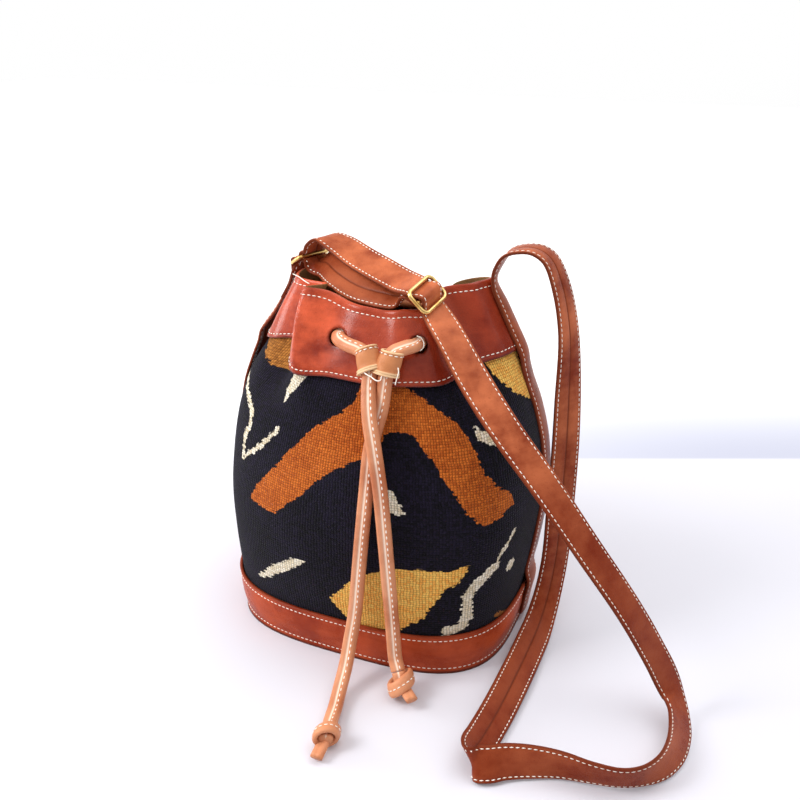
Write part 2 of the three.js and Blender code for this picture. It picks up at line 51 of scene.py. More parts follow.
camera_data = bpy.data.cameras.new("camera")
camera_data.lens = LENS_MM
camera_data.sensor_width = 36.0
camera_data.clip_start = 0.01
camera = bpy.data.objects.new("camera", camera_data)
camera.location = Vector(CAMERA_AT) * MM
camera.rotation_euler = (math.radians(CAMERA_TILT), 0.0, math.radians(CAMERA_HEADING))
bpy.context.scene.collection.objects.link(camera)
bpy.context.scene.camera = camera
bpy.context.scene.view_settings.view_transform = "Standard"


# Node helpers

def srgb(red, green, blue):
    """A colour given in 0 to 255 as a linear one."""
    def linear(value):
        share = value / 255
        return share / 12.92 if share <= 0.04045 else ((share + 0.055) / 1.055) ** 2.4
    return (linear(red), linear(green), linear(blue), 1.0)


def put(tree, kind, inputs=(), **settings):
    """Add a node; inputs maps a socket's name or number to a value or to the socket that feeds it."""
    node = tree.nodes.new(kind)
    for name, value in settings.items():
        setattr(node, name, value)
    for key, value in dict(inputs).items():
        if isinstance(value, bpy.types.NodeSocket):
            tree.links.new(value, node.inputs[key])
        else:
            node.inputs[key].default_value = value
    return node


def maths(tree, operation, *values):
    return put(tree, "ShaderNodeMath", dict(enumerate(values)), operation=operation).outputs[0]


def weighted(tree, first, first_share, second, second_share):
    """The sum of two values, each times its share."""
    return maths(tree, "ADD", maths(tree, "MULTIPLY", first, first_share),
                 maths(tree, "MULTIPLY", second, second_share))


def mixed(tree, factor, first, second, mode="MIX"):
    """A colour between two others."""
    return put(
        tree, "ShaderNodeMix", {0: factor, 6: first, 7: second}, data_type="RGBA", blend_type=mode
    ).outputs[2]


def dimmed(tree, colour, value):
    """A colour times a value."""
    grey = put(tree, "ShaderNodeCombineColor", {0: value, 1: value, 2: value}).outputs[0]
    return mixed(tree, 1.0, colour, grey, "MULTIPLY")


def between(tree, value, low, high, to_low=0.0, to_high=1.0):
    """A value that goes smoothly from to_low to to_high as another one goes from low to high."""
    return put(
        tree, "ShaderNodeMapRange", {0: value, 1: low, 2: high, 3: to_low, 4: to_high},
        interpolation_type="SMOOTHSTEP",
    ).outputs[0]


def noise(tree, where, scale, detail=2.0, rough=0.5):
    return put(
        tree, "ShaderNodeTexNoise", {"Vector": where, "Scale": scale, "Detail": detail, "Roughness": rough}
    ).outputs[0]


def node_group(name, inputs, outputs):
    """An empty shader node group with named sockets, and its input and output nodes."""
    tree = bpy.data.node_groups.new(name, "ShaderNodeTree")
    kinds = {"colour": "NodeSocketColor", "value": "NodeSocketFloat", "vector": "NodeSocketVector"}
    for socket, kind in inputs.items():
        tree.interface.new_socket(socket, in_out="INPUT", socket_type=kinds[kind])
    for socket, kind in outputs.items():
        tree.interface.new_socket(socket, in_out="OUTPUT", socket_type=kinds[kind])
    return tree, tree.nodes.new("NodeGroupInput").outputs, tree.nodes.new("NodeGroupOutput")


def new_material(name):
    """A material with an empty Principled surface: its tree and its shader node."""
    material = bpy.data.materials.new(name)
    material.use_nodes = True
    tree = material.node_tree
    return material, tree, tree.nodes["Principled BSDF"]


# Finishes

def leather_group():
    """Tanned hide: cloudy colour, darker edges, painted light and shade, pebbled grain and fine creases."""
    tree, given, made = node_group(
        "hide",
        {"Place": "vector", "Light": "colour", "Dark": "colour", "Edge Colour": "colour", "Edge": "value",
         "Depth": "value", "Grain Size": "value"},
        {"Colour": "colour", "Roughness": "value", "Height": "value"},
    )
    where = given["Place"]
    clouds = noise(tree, where, 28.0, 4.0, 0.6)
    drawn_out = put(tree, "ShaderNodeMapping", {"Vector": where, "Scale": (1.0, 1.0, 4.0)}).outputs[0]
    streaks = noise(tree, drawn_out, 60.0, 3.0, 0.6)
    patch = weighted(tree, clouds, 0.85, streaks, 0.15)
    # Painted light and shade: a value that each piece gives pulls the hide towards its dark colour.
    light = maths(tree, "MULTIPLY", between(tree, patch, 0.3, 0.68),
                  between(tree, given["Depth"], 0.0, 1.0, 1.0, 0.3))
    base = mixed(tree, light, given["Dark"], given["Light"])
    specks = noise(tree, where, 900.0, 2.0, 0.6)
    speckled = mixed(tree, between(tree, specks, 0.62, 0.75, 0.0, 0.35), base, given["Dark"])
    worn = maths(tree, "MULTIPLY", given["Edge"], between(tree, clouds, 0.2, 0.6, 0.6, 1.0))
    colour = mixed(tree, worn, speckled, given["Edge Colour"])
    cells = maths(tree, "DIVIDE", 1.0, given["Grain Size"])
    wander = put(tree, "ShaderNodeTexNoise", {"Vector": where, "Scale": 300.0}).outputs[1]
    shift = put(tree, "ShaderNodeVectorMath", {0: wander, 1: (0.0009, 0.0009, 0.0009)}, operation="MULTIPLY")
    shifted = put(tree, "ShaderNodeVectorMath", {0: where, 1: shift.outputs[0]}, operation="ADD").outputs[0]
    pebbles = put(tree, "ShaderNodeTexVoronoi", {"Vector": shifted, "Scale": cells},
                  feature="DISTANCE_TO_EDGE").outputs[0]
    crease = between(tree, pebbles, 0.0, 0.25)
    ripple = noise(tree, where, 220.0, 4.0, 0.65)
    height = weighted(tree, crease, 0.35, ripple, 0.9)
    wrinkles = noise(tree, where, 70.0, 3.0, 0.55)
    height = maths(tree, "ADD", height, maths(tree, "MULTIPLY", wrinkles, 2.2))
    gloss = maths(tree, "ADD", between(tree, clouds, 0.3, 0.7, 0.24, 0.46),
                  maths(tree, "MULTIPLY", crease, -0.06))
    tree.links.new(colour, made.inputs["Colour"])
    tree.links.new(gloss, made.inputs["Roughness"])
    tree.links.new(height, made.inputs["Height"])
    return tree


HIDE = leather_group()
GRAIN_SIZE = 0.0011


def leather(name, light, dark, edge, coat, shine, bump=0.35):
    """A hide of two tones with an edge colour. Pieces carry how worn it is, and painted light and shade in
    their depth attribute.
    """
    material, tree, surface = new_material(name)
    hide = put(tree, "ShaderNodeGroup", {
        "Place": put(tree, "ShaderNodeTexCoord").outputs["Object"],
        "Edge": put(tree, "ShaderNodeAttribute", attribute_name="edge").outputs["Fac"],
        # The depth attribute holds painted light and shade.
        "Depth": put(tree, "ShaderNodeAttribute", attribute_name="depth").outputs["Fac"],
        "Light": light, "Dark": dark, "Edge Colour": edge, "Grain Size": GRAIN_SIZE,
    }, node_tree=HIDE)
    relief = put(tree, "ShaderNodeBump",
                 {"Strength": bump, "Distance": 0.0004, "Height": hide.outputs["Height"]})
    tree.links.new(hide.outputs["Colour"], surface.inputs["Base Color"])
    tree.links.new(hide.outputs["Roughness"], surface.inputs["Roughness"])
    tree.links.new(relief.outputs[0], surface.inputs["Normal"])
    surface.inputs["Coat Weight"].default_value = coat
    surface.inputs["Coat Roughness"].default_value = 0.18
    surface.inputs["Specular IOR Level"].default_value = shine
    return material


COLLAR_HIDE = leather(
    "collar_leather", srgb(226, 98, 60), srgb(112, 23, 8), srgb(84, 26, 18), coat=0.36, shine=0.08, bump=0.55
)
BASE_HIDE = leather(
    "base_leather", srgb(192, 82, 44), srgb(142, 46, 18), srgb(72, 30, 22), coat=0.08, shine=0.06
)
STRAP_HIDE = leather(
    "strap_leather", srgb(208, 116, 74), srgb(110, 27, 4), srgb(104, 44, 24), coat=0.06, shine=0.05
)
CORD_HIDE = leather(
    "cord_leather", srgb(216, 146, 106), srgb(180, 102, 64), srgb(250, 228, 206), coat=0.1, shine=0.15
)
KEEPER_HIDE = leather(
    "keeper_leather", srgb(206, 136, 90), srgb(166, 96, 56), srgb(232, 192, 148), coat=0.05, shine=0.15
)


def suede():
    """The flesh side of the collar: olive tan, napped and dull."""
    material, tree, surface = new_material("suede")
    place = put(tree, "ShaderNodeTexCoord").outputs["Object"]
    nap = noise(tree, place, 1200.0, 4.0, 0.7)
    clouds = noise(tree, place, 60.0, 3.0, 0.6)
    pile = weighted(tree, nap, 0.5, clouds, 0.5)
    tree.links.new(mixed(tree, between(tree, pile, 0.3, 0.7), srgb(116, 78, 44), srgb(172, 128, 78)),
                   surface.inputs["Base Color"])
    tree.links.new(between(tree, nap, 0.3, 0.7, 0.8, 0.95), surface.inputs["Roughness"])
    relief = put(tree, "ShaderNodeBump", {"Strength": 0.5, "Distance": 0.0003, "Height": nap})
    tree.links.new(relief.outputs[0], surface.inputs["Normal"])
    return material


SUEDE = suede()


def weave_group():
    """Plain hand weave on the cloth's own map: yarn relief, a random value a crossing, and a row's shift."""
    tree, given, made = node_group(
        "plain_weave",
        {"Map": "vector", "Warp Count": "value", "Weft Count": "value"},
        {"Height": "value", "Crossing": "value", "Row Shift": "value"},
    )
    spread = put(tree, "ShaderNodeSeparateXYZ", {0: given["Map"]}).outputs
    drift = noise(tree, given["Map"], 30.0, 2.0)
    across = maths(tree, "ADD", maths(tree, "MULTIPLY", spread[0], given["Warp Count"]), drift)
    up = maths(tree, "ADD", maths(tree, "MULTIPLY", spread[1], given["Weft Count"]), drift)
    column = maths(tree, "FLOOR", across)
    row = maths(tree, "FLOOR", up)
    odd = maths(tree, "MODULO", maths(tree, "ADD", column, row), 2.0)
    hump_across = maths(tree, "SINE", maths(tree, "MULTIPLY", maths(tree, "FRACT", across), math.pi))
    hump_up = maths(tree, "SINE", maths(tree, "MULTIPLY", maths(tree, "FRACT", up), math.pi))
    level = maths(tree, "ADD", maths(tree, "MULTIPLY", odd, 0.35), 0.65)
    yarn = maths(tree, "MULTIPLY", maths(tree, "POWER", hump_across, 0.7), maths(tree, "POWER", hump_up, 0.5))
    cell = put(tree, "ShaderNodeCombineXYZ", {0: column, 1: row}).outputs[0]
    dice = put(tree, "ShaderNodeTexWhiteNoise", {"Vector": cell}, noise_dimensions="3D").outputs[0]
    line = put(tree, "ShaderNodeTexWhiteNoise", {"W": row}, noise_dimensions="1D").outputs[0]
    tree.links.new(maths(tree, "MULTIPLY", yarn, level), made.inputs["Height"])
    tree.links.new(dice, made.inputs["Crossing"])
    tree.links.new(line, made.inputs["Row Shift"])
    return tree


WARP_COUNT = 320.0
WEFT_COUNT = 116.0
# How far a figure's edge moves from yarn to yarn, in metres
FRAY = 0.0012


def mudcloth():
    """Dyed cotton strips: a near-black ground with rust, ochre and undyed figures, edged yarn by yarn."""
    material, tree, surface = new_material("mudcloth")
    chart = put(tree, "ShaderNodeTexCoord").outputs["UV"]
    weave = put(tree, "ShaderNodeGroup", {"Map": chart, "Warp Count": WARP_COUNT, "Weft Count": WEFT_COUNT},
                node_tree=weave_group())
    crossing = weave.outputs["Crossing"]
    jitter = weighted(tree, crossing, FRAY, weave.outputs["Row Shift"], FRAY)
    jitter = maths(tree, "SUBTRACT", jitter, FRAY)
    place = put(tree, "ShaderNodeTexCoord").outputs["Object"]
    clouds = noise(tree, place, 35.0, 4.0, 0.6)
    fibres = noise(tree, place, 1500.0, 3.0, 0.7)

    def tint(light, dark):
        yarn = weighted(tree, crossing, 0.4, clouds, 0.6)
        return mixed(tree, between(tree, yarn, 0.2, 0.8), dark, light)

    colour = tint(srgb(30, 25, 42), srgb(9, 7, 13))
    figures = {
        "rust": tint(srgb(212, 112, 42), srgb(172, 80, 24)),
        "ochre": tint(srgb(255, 208, 108), srgb(246, 170, 76)),
        "brown": tint(srgb(190, 124, 56), srgb(138, 82, 30)),
        "cream": tint(srgb(255, 246, 226), srgb(226, 208, 172)),
    }
    for name, figure in figures.items():
        inside = put(tree, "ShaderNodeAttribute", attribute_name=name).outputs["Fac"]
        mask = between(tree, maths(tree, "ADD", inside, jitter), -0.0003, 0.0003)
        colour = mixed(tree, mask, colour, figure)
    # Painted shade: the cloth is darker in the weave's valleys, between the tops of the yarns.
    painted_valley_shade = between(tree, weave.outputs["Height"], 0.1, 0.6, 0.55, 1.0)
    shaded = dimmed(tree, colour, painted_valley_shade)
    fuzz = between(tree, fibres, 0.3, 0.7, 0.8, 1.15)
    final = dimmed(tree, shaded, fuzz)
    height = maths(tree, "ADD", weave.outputs["Height"], maths(tree, "MULTIPLY", fibres, 0.35))
    relief = put(tree, "ShaderNodeBump", {"Strength": 0.8, "Distance": 0.0007, "Height": height})
    tree.links.new(final, surface.inputs["Base Color"])
    tree.links.new(between(tree, crossing, 0.0, 1.0, 0.82, 0.95), surface.inputs["Roughness"])
    tree.links.new(relief.outputs[0], surface.inputs["Normal"])
    surface.inputs["Specular IOR Level"].default_value = 0.1
    surface.inputs["Sheen Weight"].default_value = 0.04
    surface.inputs["Sheen Roughness"].default_value = 0.5
    return material


def waxed_thread():
    material, tree, surface = new_material("waxed_thread")
    place = put(tree, "ShaderNodeTexCoord").outputs["Object"]
    twist = noise(tree, place, 700.0, 3.0, 0.6)
    tree.links.new(mixed(tree, between(tree, twist, 0.3, 0.7), srgb(240, 224, 204), srgb(255, 251, 244)),
                   surface.inputs["Base Color"])
    tree.links.new(between(tree, twist, 0.3, 0.7, 0.5, 0.7), surface.inputs["Roughness"])
    relief = put(tree, "ShaderNodeBump", {"Strength": 0.4, "Distance": 0.0002, "Height": twist})
    tree.links.new(relief.outputs[0], surface.inputs["Normal"])
    return material


def pale_brass():
    material, tree, surface = new_material("pale_brass")
    place = put(tree, "ShaderNodeTexCoord").outputs["Object"]
    tarnish = noise(tree, place, 160.0, 4.0, 0.6)
    scratch = noise(tree, place, 1800.0, 2.0, 0.6)
    tree.links.new(mixed(tree, between(tree, tarnish, 0.35, 0.7), srgb(240, 208, 138), srgb(208, 166, 92)),
                   surface.inputs["Base Color"])
    tree.links.new(between(tree, tarnish, 0.3, 0.7, 0.2, 0.36), surface.inputs["Roughness"])
    relief = put(tree, "ShaderNodeBump", {"Strength": 0.15, "Distance": 0.0001, "Height": scratch})
    tree.links.new(relief.outputs[0], surface.inputs["Normal"])
    surface.inputs["Metallic"].default_value = 1.0
    return material


THREAD = waxed_thread()
MUDCLOTH = mudcloth()
BRASS = pale_brass()


# Making pieces

def new_piece(name, bm, material, replaces=(), lining=None):
    """A smooth piece of the bag from a bmesh in metres, with a second material for an inside that shows."""
    mesh = bpy.data.meshes.new(name)
    bm.to_mesh(mesh)
    bm.free()
    mesh.materials.append(material)
    if lining:
        mesh.materials.append(lining)
    mesh.polygons.foreach_set("use_smooth", np.ones(len(mesh.polygons), dtype=bool))
    piece = bpy.data.objects.new(name, mesh)
    bpy.context.scene.collection.objects.link(piece)
    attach(piece, "root")
    if replaces:
        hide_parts(*replaces)
    return piece


# Points nearer to each other than this, in metres, are one
MEETING = 1e-6


def lattice(columns, rows, place, values=None):
    """A grid whose points place(u, v) puts in millimetres, u and v from 0 to 1. Edges that meet join."""
    bm = bmesh.new()
    bm.loops.layers.uv.new("UVMap")
    bmesh.ops.create_grid(bm, x_segments=columns, y_segments=rows, size=0.5, calc_uvs=True)
    flat = np.array([vert.co[:] for vert in bm.verts])
    u = np.round((flat[:, 0] + 0.5) * columns) / columns
    v = np.round((flat[:, 1] + 0.5) * rows) / rows
    for vert, point in zip(bm.verts, place(u, v) * MM):
        vert.co = point
    for name, share in (values(u, v) if values else {}).items():
        layer = bm.verts.layers.float.new(name)
        for vert, value in zip(bm.verts, share):
            vert[layer] = value
    bmesh.ops.remove_doubles(bm, verts=bm.verts, dist=MEETING)
    bmesh.ops.recalc_face_normals(bm, faces=bm.faces)
    return bm


def thicken(piece, thickness):
    """Give a sheet its thickness, inwards."""
    wall = piece.modifiers.new("wall", "SOLIDIFY")
    wall.thickness = thickness * MM
    wall.offset = -1.0
    wall.use_even_offset = True
    wall.use_quality_normals = True
    return piece


def unit(vectors):
    return vectors / np.linalg.norm(vectors, axis=-1, keepdims=True)


SHORTEST_STEP = 1e-4


def smooth_route(points, per_span):
    """Points on a centripetal curve through others, so many to a span."""
    p = np.asarray(points, float)
    p = np.vstack([2 * p[0] - p[1], p, 2 * p[-1] - p[-2]])
    steps = np.maximum(np.linalg.norm(np.diff(p, axis=0), axis=1) ** 0.5, SHORTEST_STEP)
    t = np.linspace(0, 1, per_span, endpoint=False)[:, None]
    out = []
    for k in range(1, len(p) - 2):
        a, b, c, d = p[k - 1:k + 3]
        before, here, after = steps[k - 1:k + 2]
        leave = here * ((b - a) / before - (c - a) / (before + here) + (c - b) / here)
        reach = here * ((c - b) / here - (d - b) / (here + after) + (d - c) / after)
        out.append((1 + 2 * t) * (1 - t) ** 2 * b + t * (1 - t) ** 2 * leave
                   + t * t * (3 - 2 * t) * c + t * t * (t - 1) * reach)
    return np.vstack([*out, p[-2:-1]])


def tangents(points):
    return unit(np.gradient(points, axis=0))


def faced(points, facing):
    """Directions across a route and out of its face, which turns to one side as far as the route lets it."""
    along = tangents(points)
    faces = unit(facing - along * (along @ facing)[:, None])
    return np.cross(faces, along), faces


def swept(section, centres, across, faces, edges=None, ends=True, cup=0.0, depth=0.0):
    """A body that carries a closed section along a route; flat ends close to their middles.

    Cup is how far the sides of the section bend down at each point of the route, and depth the painted light
    and shade there.
    """
    section = np.asarray(section, float)
    count = len(section)
    rows = len(centres) - 1
    pad = 1 if ends else 0
    cup = np.broadcast_to(cup, len(centres))
    depth = np.broadcast_to(depth, len(centres))
    half = np.abs(section[:, 0]).max()

    def place(u, v):
        column = np.round(u * count).astype(int) % count
        step = np.round(v * (rows + 2 * pad)).astype(int) - pad
        row = np.clip(step, 0, rows)
        spot = section[column]
        end = (step != row)[:, None]
        bend = cup[row] * (spot[:, 0] / half) ** 2
        offset = across[row] * spot[:, :1] + faces[row] * (spot[:, 1] - bend)[:, None]
        return centres[row] + np.where(end, 0.0, offset)

    def values(u, v):
        column = np.round(u * count).astype(int) % count
        row = np.clip(np.round(v * (rows + 2 * pad)).astype(int) - pad, 0, rows)
        # Depth holds painted light and shade.
        return {"edge": np.asarray(edges, float)[column], "depth": depth[row]}

    return lattice(count, rows + 2 * pad, place, values if edges is not None else None)


def steady(direction, count):
    """One direction, the same at each of so many points."""
    return np.repeat(direction[None], count, 0)


def round_section(width, sides):
    turn = np.linspace(0, 2 * np.pi, sides, endpoint=False)
    return np.stack([np.cos(turn), np.sin(turn)], axis=1) * width / 2


def join_in(bm, other):
    """Add another bmesh's faces to one."""
    mesh = bpy.data.meshes.new("part")
    other.to_mesh(mesh)
    other.free()
    bm.from_mesh(mesh)
    bpy.data.meshes.remove(mesh)
    return bm


def spaced(points, pitch):
    """Middles of equal steps along a route, as a place on its list of points."""
    gone = np.concatenate([[0], np.cumsum(np.linalg.norm(np.diff(points, axis=0), axis=1))])
    count = max(1, int(gone[-1] / pitch))
    return np.interp((np.arange(count) + 0.5) * gone[-1] / count, gone, np.arange(len(points)))


STITCH_PITCH = 2.9
STITCH_LENGTH = 2.2
STITCH_WIDTH = 0.62
STITCH_HEIGHT = 0.5
STITCH_SIDES = 6
STITCH_RINGS = 4
# How far a stitch leans at most, and the step in the wave of leans from one stitch to the next
STITCH_LEAN = 0.06
LEAN_STEP = 12.9


def stitch_places(points, normals, pitch=STITCH_PITCH, length=STITCH_LENGTH, width=STITCH_WIDTH):
    """A row of stitches along a route on a surface: a matrix each, with its own slight lean."""
    points = np.asarray(points, float)
    normals = np.asarray(normals, float)
    place = spaced(points, pitch)
    k = np.minimum(place.astype(int), len(points) - 2)
    share = (place - k)[:, None]
    at = points[k] * (1 - share) + points[k + 1] * share
    up = unit(normals[k] * (1 - share) + normals[k + 1] * share)
    forward = unit(points[k + 1] - points[k])
    forward = unit(forward - up * np.sum(forward * up, axis=1, keepdims=True))
    lean = STITCH_LEAN * np.sin(LEAN_STEP * np.arange(len(place)))[:, None]
    forward = unit(forward + lean * np.cross(up, forward))
    side = np.cross(up, forward)
    return np.stack([forward * length / 2, side * width / 2, up * STITCH_HEIGHT / 2, at], axis=1)


def stitching(name, rows):
    """A piece of thread: one low oval a stitch, doubled up to their number and then put in place."""
    places = np.concatenate(rows)
    ball = bmesh.new()
    bmesh.ops.create_uvsphere(ball, u_segments=STITCH_SIDES, v_segments=STITCH_RINGS, radius=1.0)
    bm = join_in(bmesh.new(), ball)
    oval = np.array([vert.co[:] for vert in bm.verts])
    while len(bm.verts) < len(oval) * len(places):
        join_in(bm, bm.copy())
    bm.verts.ensure_lookup_table()
    bmesh.ops.delete(bm, geom=bm.verts[len(oval) * len(places):], context="VERTS")
    spots = np.einsum("va,nab->nvb", oval, places[:, :3]) + places[:, 3:]
    for vert, spot in zip(bm.verts, spots.reshape(-1, 3) * MM):
        vert.co = spot
    return new_piece(name, bm, THREAD)


# The cords: a leather thong folded over and stitched, out of the collar's two holes, through the keeper
# and down the front to a knot each

CORD_GAP = 0.3
# A cord goes straight into its knot, and straight on behind its hole, for this far
STRAIGHT_RUN = 7.0
CORD_STEPS = 8
INSIDE_STEPS = 6
DRAWSTRING_LEFT = [
    (-12.6, -36.5, 185), (-12.2, -44, 186), (-9, -49.4, 186.2), (-3, -52.6, 185.4), (3, -53.8, 184.6),
    (8.0, -54.9, 182.6), (11.6, -57.8, 176.6), (13.4, -63.5, 167), (17, -71, 156), (21.8, -76, 140),
    (26, -78.5, 118), (28.6, -80, 96), (30.6, -80.3, 72), (33, -81, 46), (34.2, -81.3, 31),
]
DRAWSTRING_RIGHT = [
    (28.3, -31.5, 184), (30.6, -39, 186.4), (30.5, -45.5, 187.3), (27, -50.8, 187), (22.5, -54.3, 184.6),
    (20.7, -57.3, 176.4), (20.4, -59.8, 168), (20, -63, 157.5), (18.3, -66.8, 147), (17, -70.3, 137),
    (16.8, -75.8, 116), (15.5, -80, 88), (13, -80.2, 62), (11, -81, 40), (9.5, -84.5, 24),
    (10.2, -92, 13.5), (12, -104, 6.5), (14.3, -113.5, 4.4),
]
DRAWSTRING_INSIDE = [
    (-12, -23, 182), (-21, -18.5, 183), (-33, -16, 184), (-44, -9, 184.5), (-51, 2, 184.5), (-49, 13, 184.5),
    (-40, 20.5, 184), (-28, 24, 184), (-12, 27.5, 184), (4, 29, 184), (18, 29, 184.5), (30, 23, 186),
    (42, 14, 189), (49, 3, 190), (45, -8, 188), (36, -13.5, 185), (29, -18, 183),
]
KNOT_LENGTH = 12.0
# Each knot's middle, how tightly its turn goes round, the way the cord enters it and its cut end's way
KNOTS = {
    "right": {
        "at": (41.5, -88, 8.6), "wrap": 4.8, "along": (0.45, -0.45, -0.77), "tail": (0.75, -0.65, -0.1),
    },
    "left": {
        "at": (21, -136.5, 7.9), "wrap": 3.9, "along": (0.3, -0.93, 0.2), "tail": (0, -0.95, -0.3),
    },
}
# The thong's section, seen along the cord: across it, and out of its stitched face
CORD_SECTION = [
    (-3.9, -0.4), (-3.6, 1.2), (-2.6, 2.1), (-1.0, 2.35), (-0.25, 2.1), (0.1, 2.2), (0.6, 2.65), (1.9, 2.65),
    (3.1, 2.0), (3.9, 0.7), (4.0, -0.6), (3.4, -1.9), (2.0, -2.6), (0, -2.75), (-2.0, -2.6), (-3.3, -1.8),
]
# How far each of its points is the pale cut edge, and where the stitches lie on it
CORD_EDGES = [0, 0, 0, 0.1, 0.9, 0.8, 0, 0, 0, 0, 0, 0, 0, 0, 0, 0]
CORD_SEAM = (1.25, 2.6)
# Where the stitched faces of the cords, of the run inside and of the knots look
CORD_FACING = np.array([0.2, -0.6, 0.75])
INSIDE_FACING = np.array([0, -0.3, 1.0])
KNOT_FACING = np.array([0.38, -0.92, 0.6])


def into_knot(knot_row):
    """The last two points of a cord, straight into its knot."""
    at = np.array(knot_row["at"], float)
    along = unit(np.array(knot_row["along"], float))
    return [at - along * (KNOT_LENGTH / 2 + away) for away in (STRAIGHT_RUN + CORD_GAP, CORD_GAP)]


def cord_route(name, table, knot_row):
    """A cord from its hole to its knot: the piece, its points, and its stitch row with the way it faces."""
    points = smooth_route([*table, *into_knot(knot_row)], CORD_STEPS)
    across, faces = faced(points, CORD_FACING)
    bm = swept(CORD_SECTION, points, across, faces, CORD_EDGES)
    piece = new_piece(name + "_thong", bm, CORD_HIDE, [name])
    seam = points + across * CORD_SEAM[0] + faces * CORD_SEAM[1]
    return piece, points, seam, faces


def behind(table, distance):
    """A point straight behind the start of a cord, inside the collar."""
    first, second = np.array(table[0], float), np.array(table[1], float)
    return first - unit(second - first) * distance


cord_left, left_points, left_seam, left_faces = cord_route("drawstring_left", DRAWSTRING_LEFT, KNOTS["right"])
cord_right, right_points, right_seam, right_faces = cord_route(
    "drawstring_right", DRAWSTRING_RIGHT, KNOTS["left"]
)
inside_points = smooth_route([
    behind(DRAWSTRING_LEFT, CORD_GAP), behind(DRAWSTRING_LEFT, STRAIGHT_RUN), *DRAWSTRING_INSIDE,
    behind(DRAWSTRING_RIGHT, STRAIGHT_RUN), behind(DRAWSTRING_RIGHT, CORD_GAP),
], INSIDE_STEPS)
inside_across, inside_faces = faced(inside_points, INSIDE_FACING)
cord_inside = new_piece(
    "drawstring_inside_thong", swept(CORD_SECTION, inside_points, inside_across, inside_faces, CORD_EDGES),
    CORD_HIDE, ["drawstring_inside"],
)


# The keeper: a stitched leather band round each cord, drawn together between them

KEEPER_MIDDLES = [((8.6, -54.6, 184.4), (11.8, -57.8, 176.6)), ((22.5, -54.3, 184.6), (20.7, -57.3, 176.4))]
KEEPER_HALF_WIDTH = 5.9
KEEPER_HALF_DEPTH = 4.7
KEEPER_WALL = 1.4
KEEPER_COLUMNS = 40
# Each band sits this much higher at its right, its highest place turned from there by a lean in radians
KEEPER_SWAY = 0.7
KEEPER_LEANS = (-0.5, 0.5)
# Height on the band, and how far its outer face stands out from the band's middle size
KEEPER_PROFILE = [
    (-6.4, 0.3), (-6.7, 1.0), (-6.5, 1.6), (-5.9, 1.6), (-5.5, 1.0), (-5.2, 1.3), (-4.6, 1.3), (-4.2, 0.8),
    (-3.6, 0.55), (-1.5, 0.6),
    (0.5, 0.5), (2.4, 0.3), (3.6, 0.15), (4.3, -0.1), (5.0, 0.2), (5.6, 0.3), (6.0, 0.1), (6.1, -0.5),
]
KEEPER_SEAM = 4.3
KEEPER_SEAM_OUT = 0.2
KEEPER_SEAM_STEPS = 61
# The pale cut edges: of the doubled lip below, and of the top
KEEPER_LIP = -4.5
KEEPER_TOP = 5.5


def keeper_band(start, stop, lean):
    """One band of the keeper, and its stitch row with the way it faces."""
    start, stop = np.array(start), np.array(stop)
    middle = (start + stop) / 2
    axis = unit(start - stop)
    side = unit(np.array([1.0, 0.0, 0.0]) - axis[0] * axis)
    front = np.cross(side, axis)
    profile = np.array([*KEEPER_PROFILE, *[(h, out - KEEPER_WALL) for h, out in KEEPER_PROFILE[::-1]]])
    count = len(profile)

    def spot(turn, height, out):
        sway = KEEPER_SWAY * np.cos(turn + lean)
        return (middle + side * ((KEEPER_HALF_WIDTH + out) * np.cos(turn))[:, None]
                + front * ((KEEPER_HALF_DEPTH + out) * np.sin(turn))[:, None]
                + axis * (height + sway)[:, None])

    def place(u, v):
        row = np.round(v * count).astype(int) % count
        return spot(2 * np.pi * u, profile[row, 0], profile[row, 1])

    def edge(u, v):
        height = profile[np.round(v * count).astype(int) % count, 0]
        return {"edge": np.where((height < KEEPER_LIP) | (height > KEEPER_TOP), 1.0, 0.0)}

    turn = np.linspace(0, 2 * np.pi, KEEPER_SEAM_STEPS)
    seam = spot(turn, np.full_like(turn, KEEPER_SEAM), np.full_like(turn, KEEPER_SEAM_OUT))
    outwards = unit(side * np.cos(turn)[:, None] + front * np.sin(turn)[:, None])
    return lattice(KEEPER_COLUMNS, count, place, edge), (seam, outwards)


keeper_bm = bmesh.new()
keeper_rows = []
for (start, stop), lean in zip(KEEPER_MIDDLES, KEEPER_LEANS):
    band_bm, seam_row = keeper_band(start, stop, lean)
    join_in(keeper_bm, band_bm)
    keeper_rows.append(seam_row)
keeper_piece = new_piece("keeper_bands", keeper_bm, KEEPER_HIDE, ["cord_keeper"])


# The knots: the thong turned round itself, its cut end coming out under the turn

# The section of the turn: along the knot, and out of it
KNOT_BAND = [
    (-4.0, -0.6), (-3.9, 0.6), (-3.0, 1.3), (-1.0, 1.6), (0, 1.35), (1.0, 1.6), (3.0, 1.3), (3.9, 0.6),
    (4.0, -0.6), (3.0, -1.3), (0, -1.5), (-3.0, -1.3),
]
# The cord inside the knot: its size to the cord's, how far it ends short, and its steps
CORE_SCALE = 0.95
CORE_SHORT = 1.5
CORE_STEPS = 9
# The turn round it: how far out its middle lies, how oval it is, and its rise to one side
TURN_OUT = 1.2
TURN_OVAL = 1.05
TURN_RISE = 2.6
TURN_LEAN = 0.5
TURN_STEPS = 49
TURN_SEAM_OUT = 1.5
# The cut end: where it starts and stops, how far it hangs, and its width and depth to the cord's
TAIL_START = 1.0
TAIL_STOP = 13.0
TAIL_HANG = np.array([0, 0, -0.4])
TAIL_SCALE = (0.85, 0.62)
TAIL_STEPS = 8
UPWARDS = np.array([0, 0, 1.0])


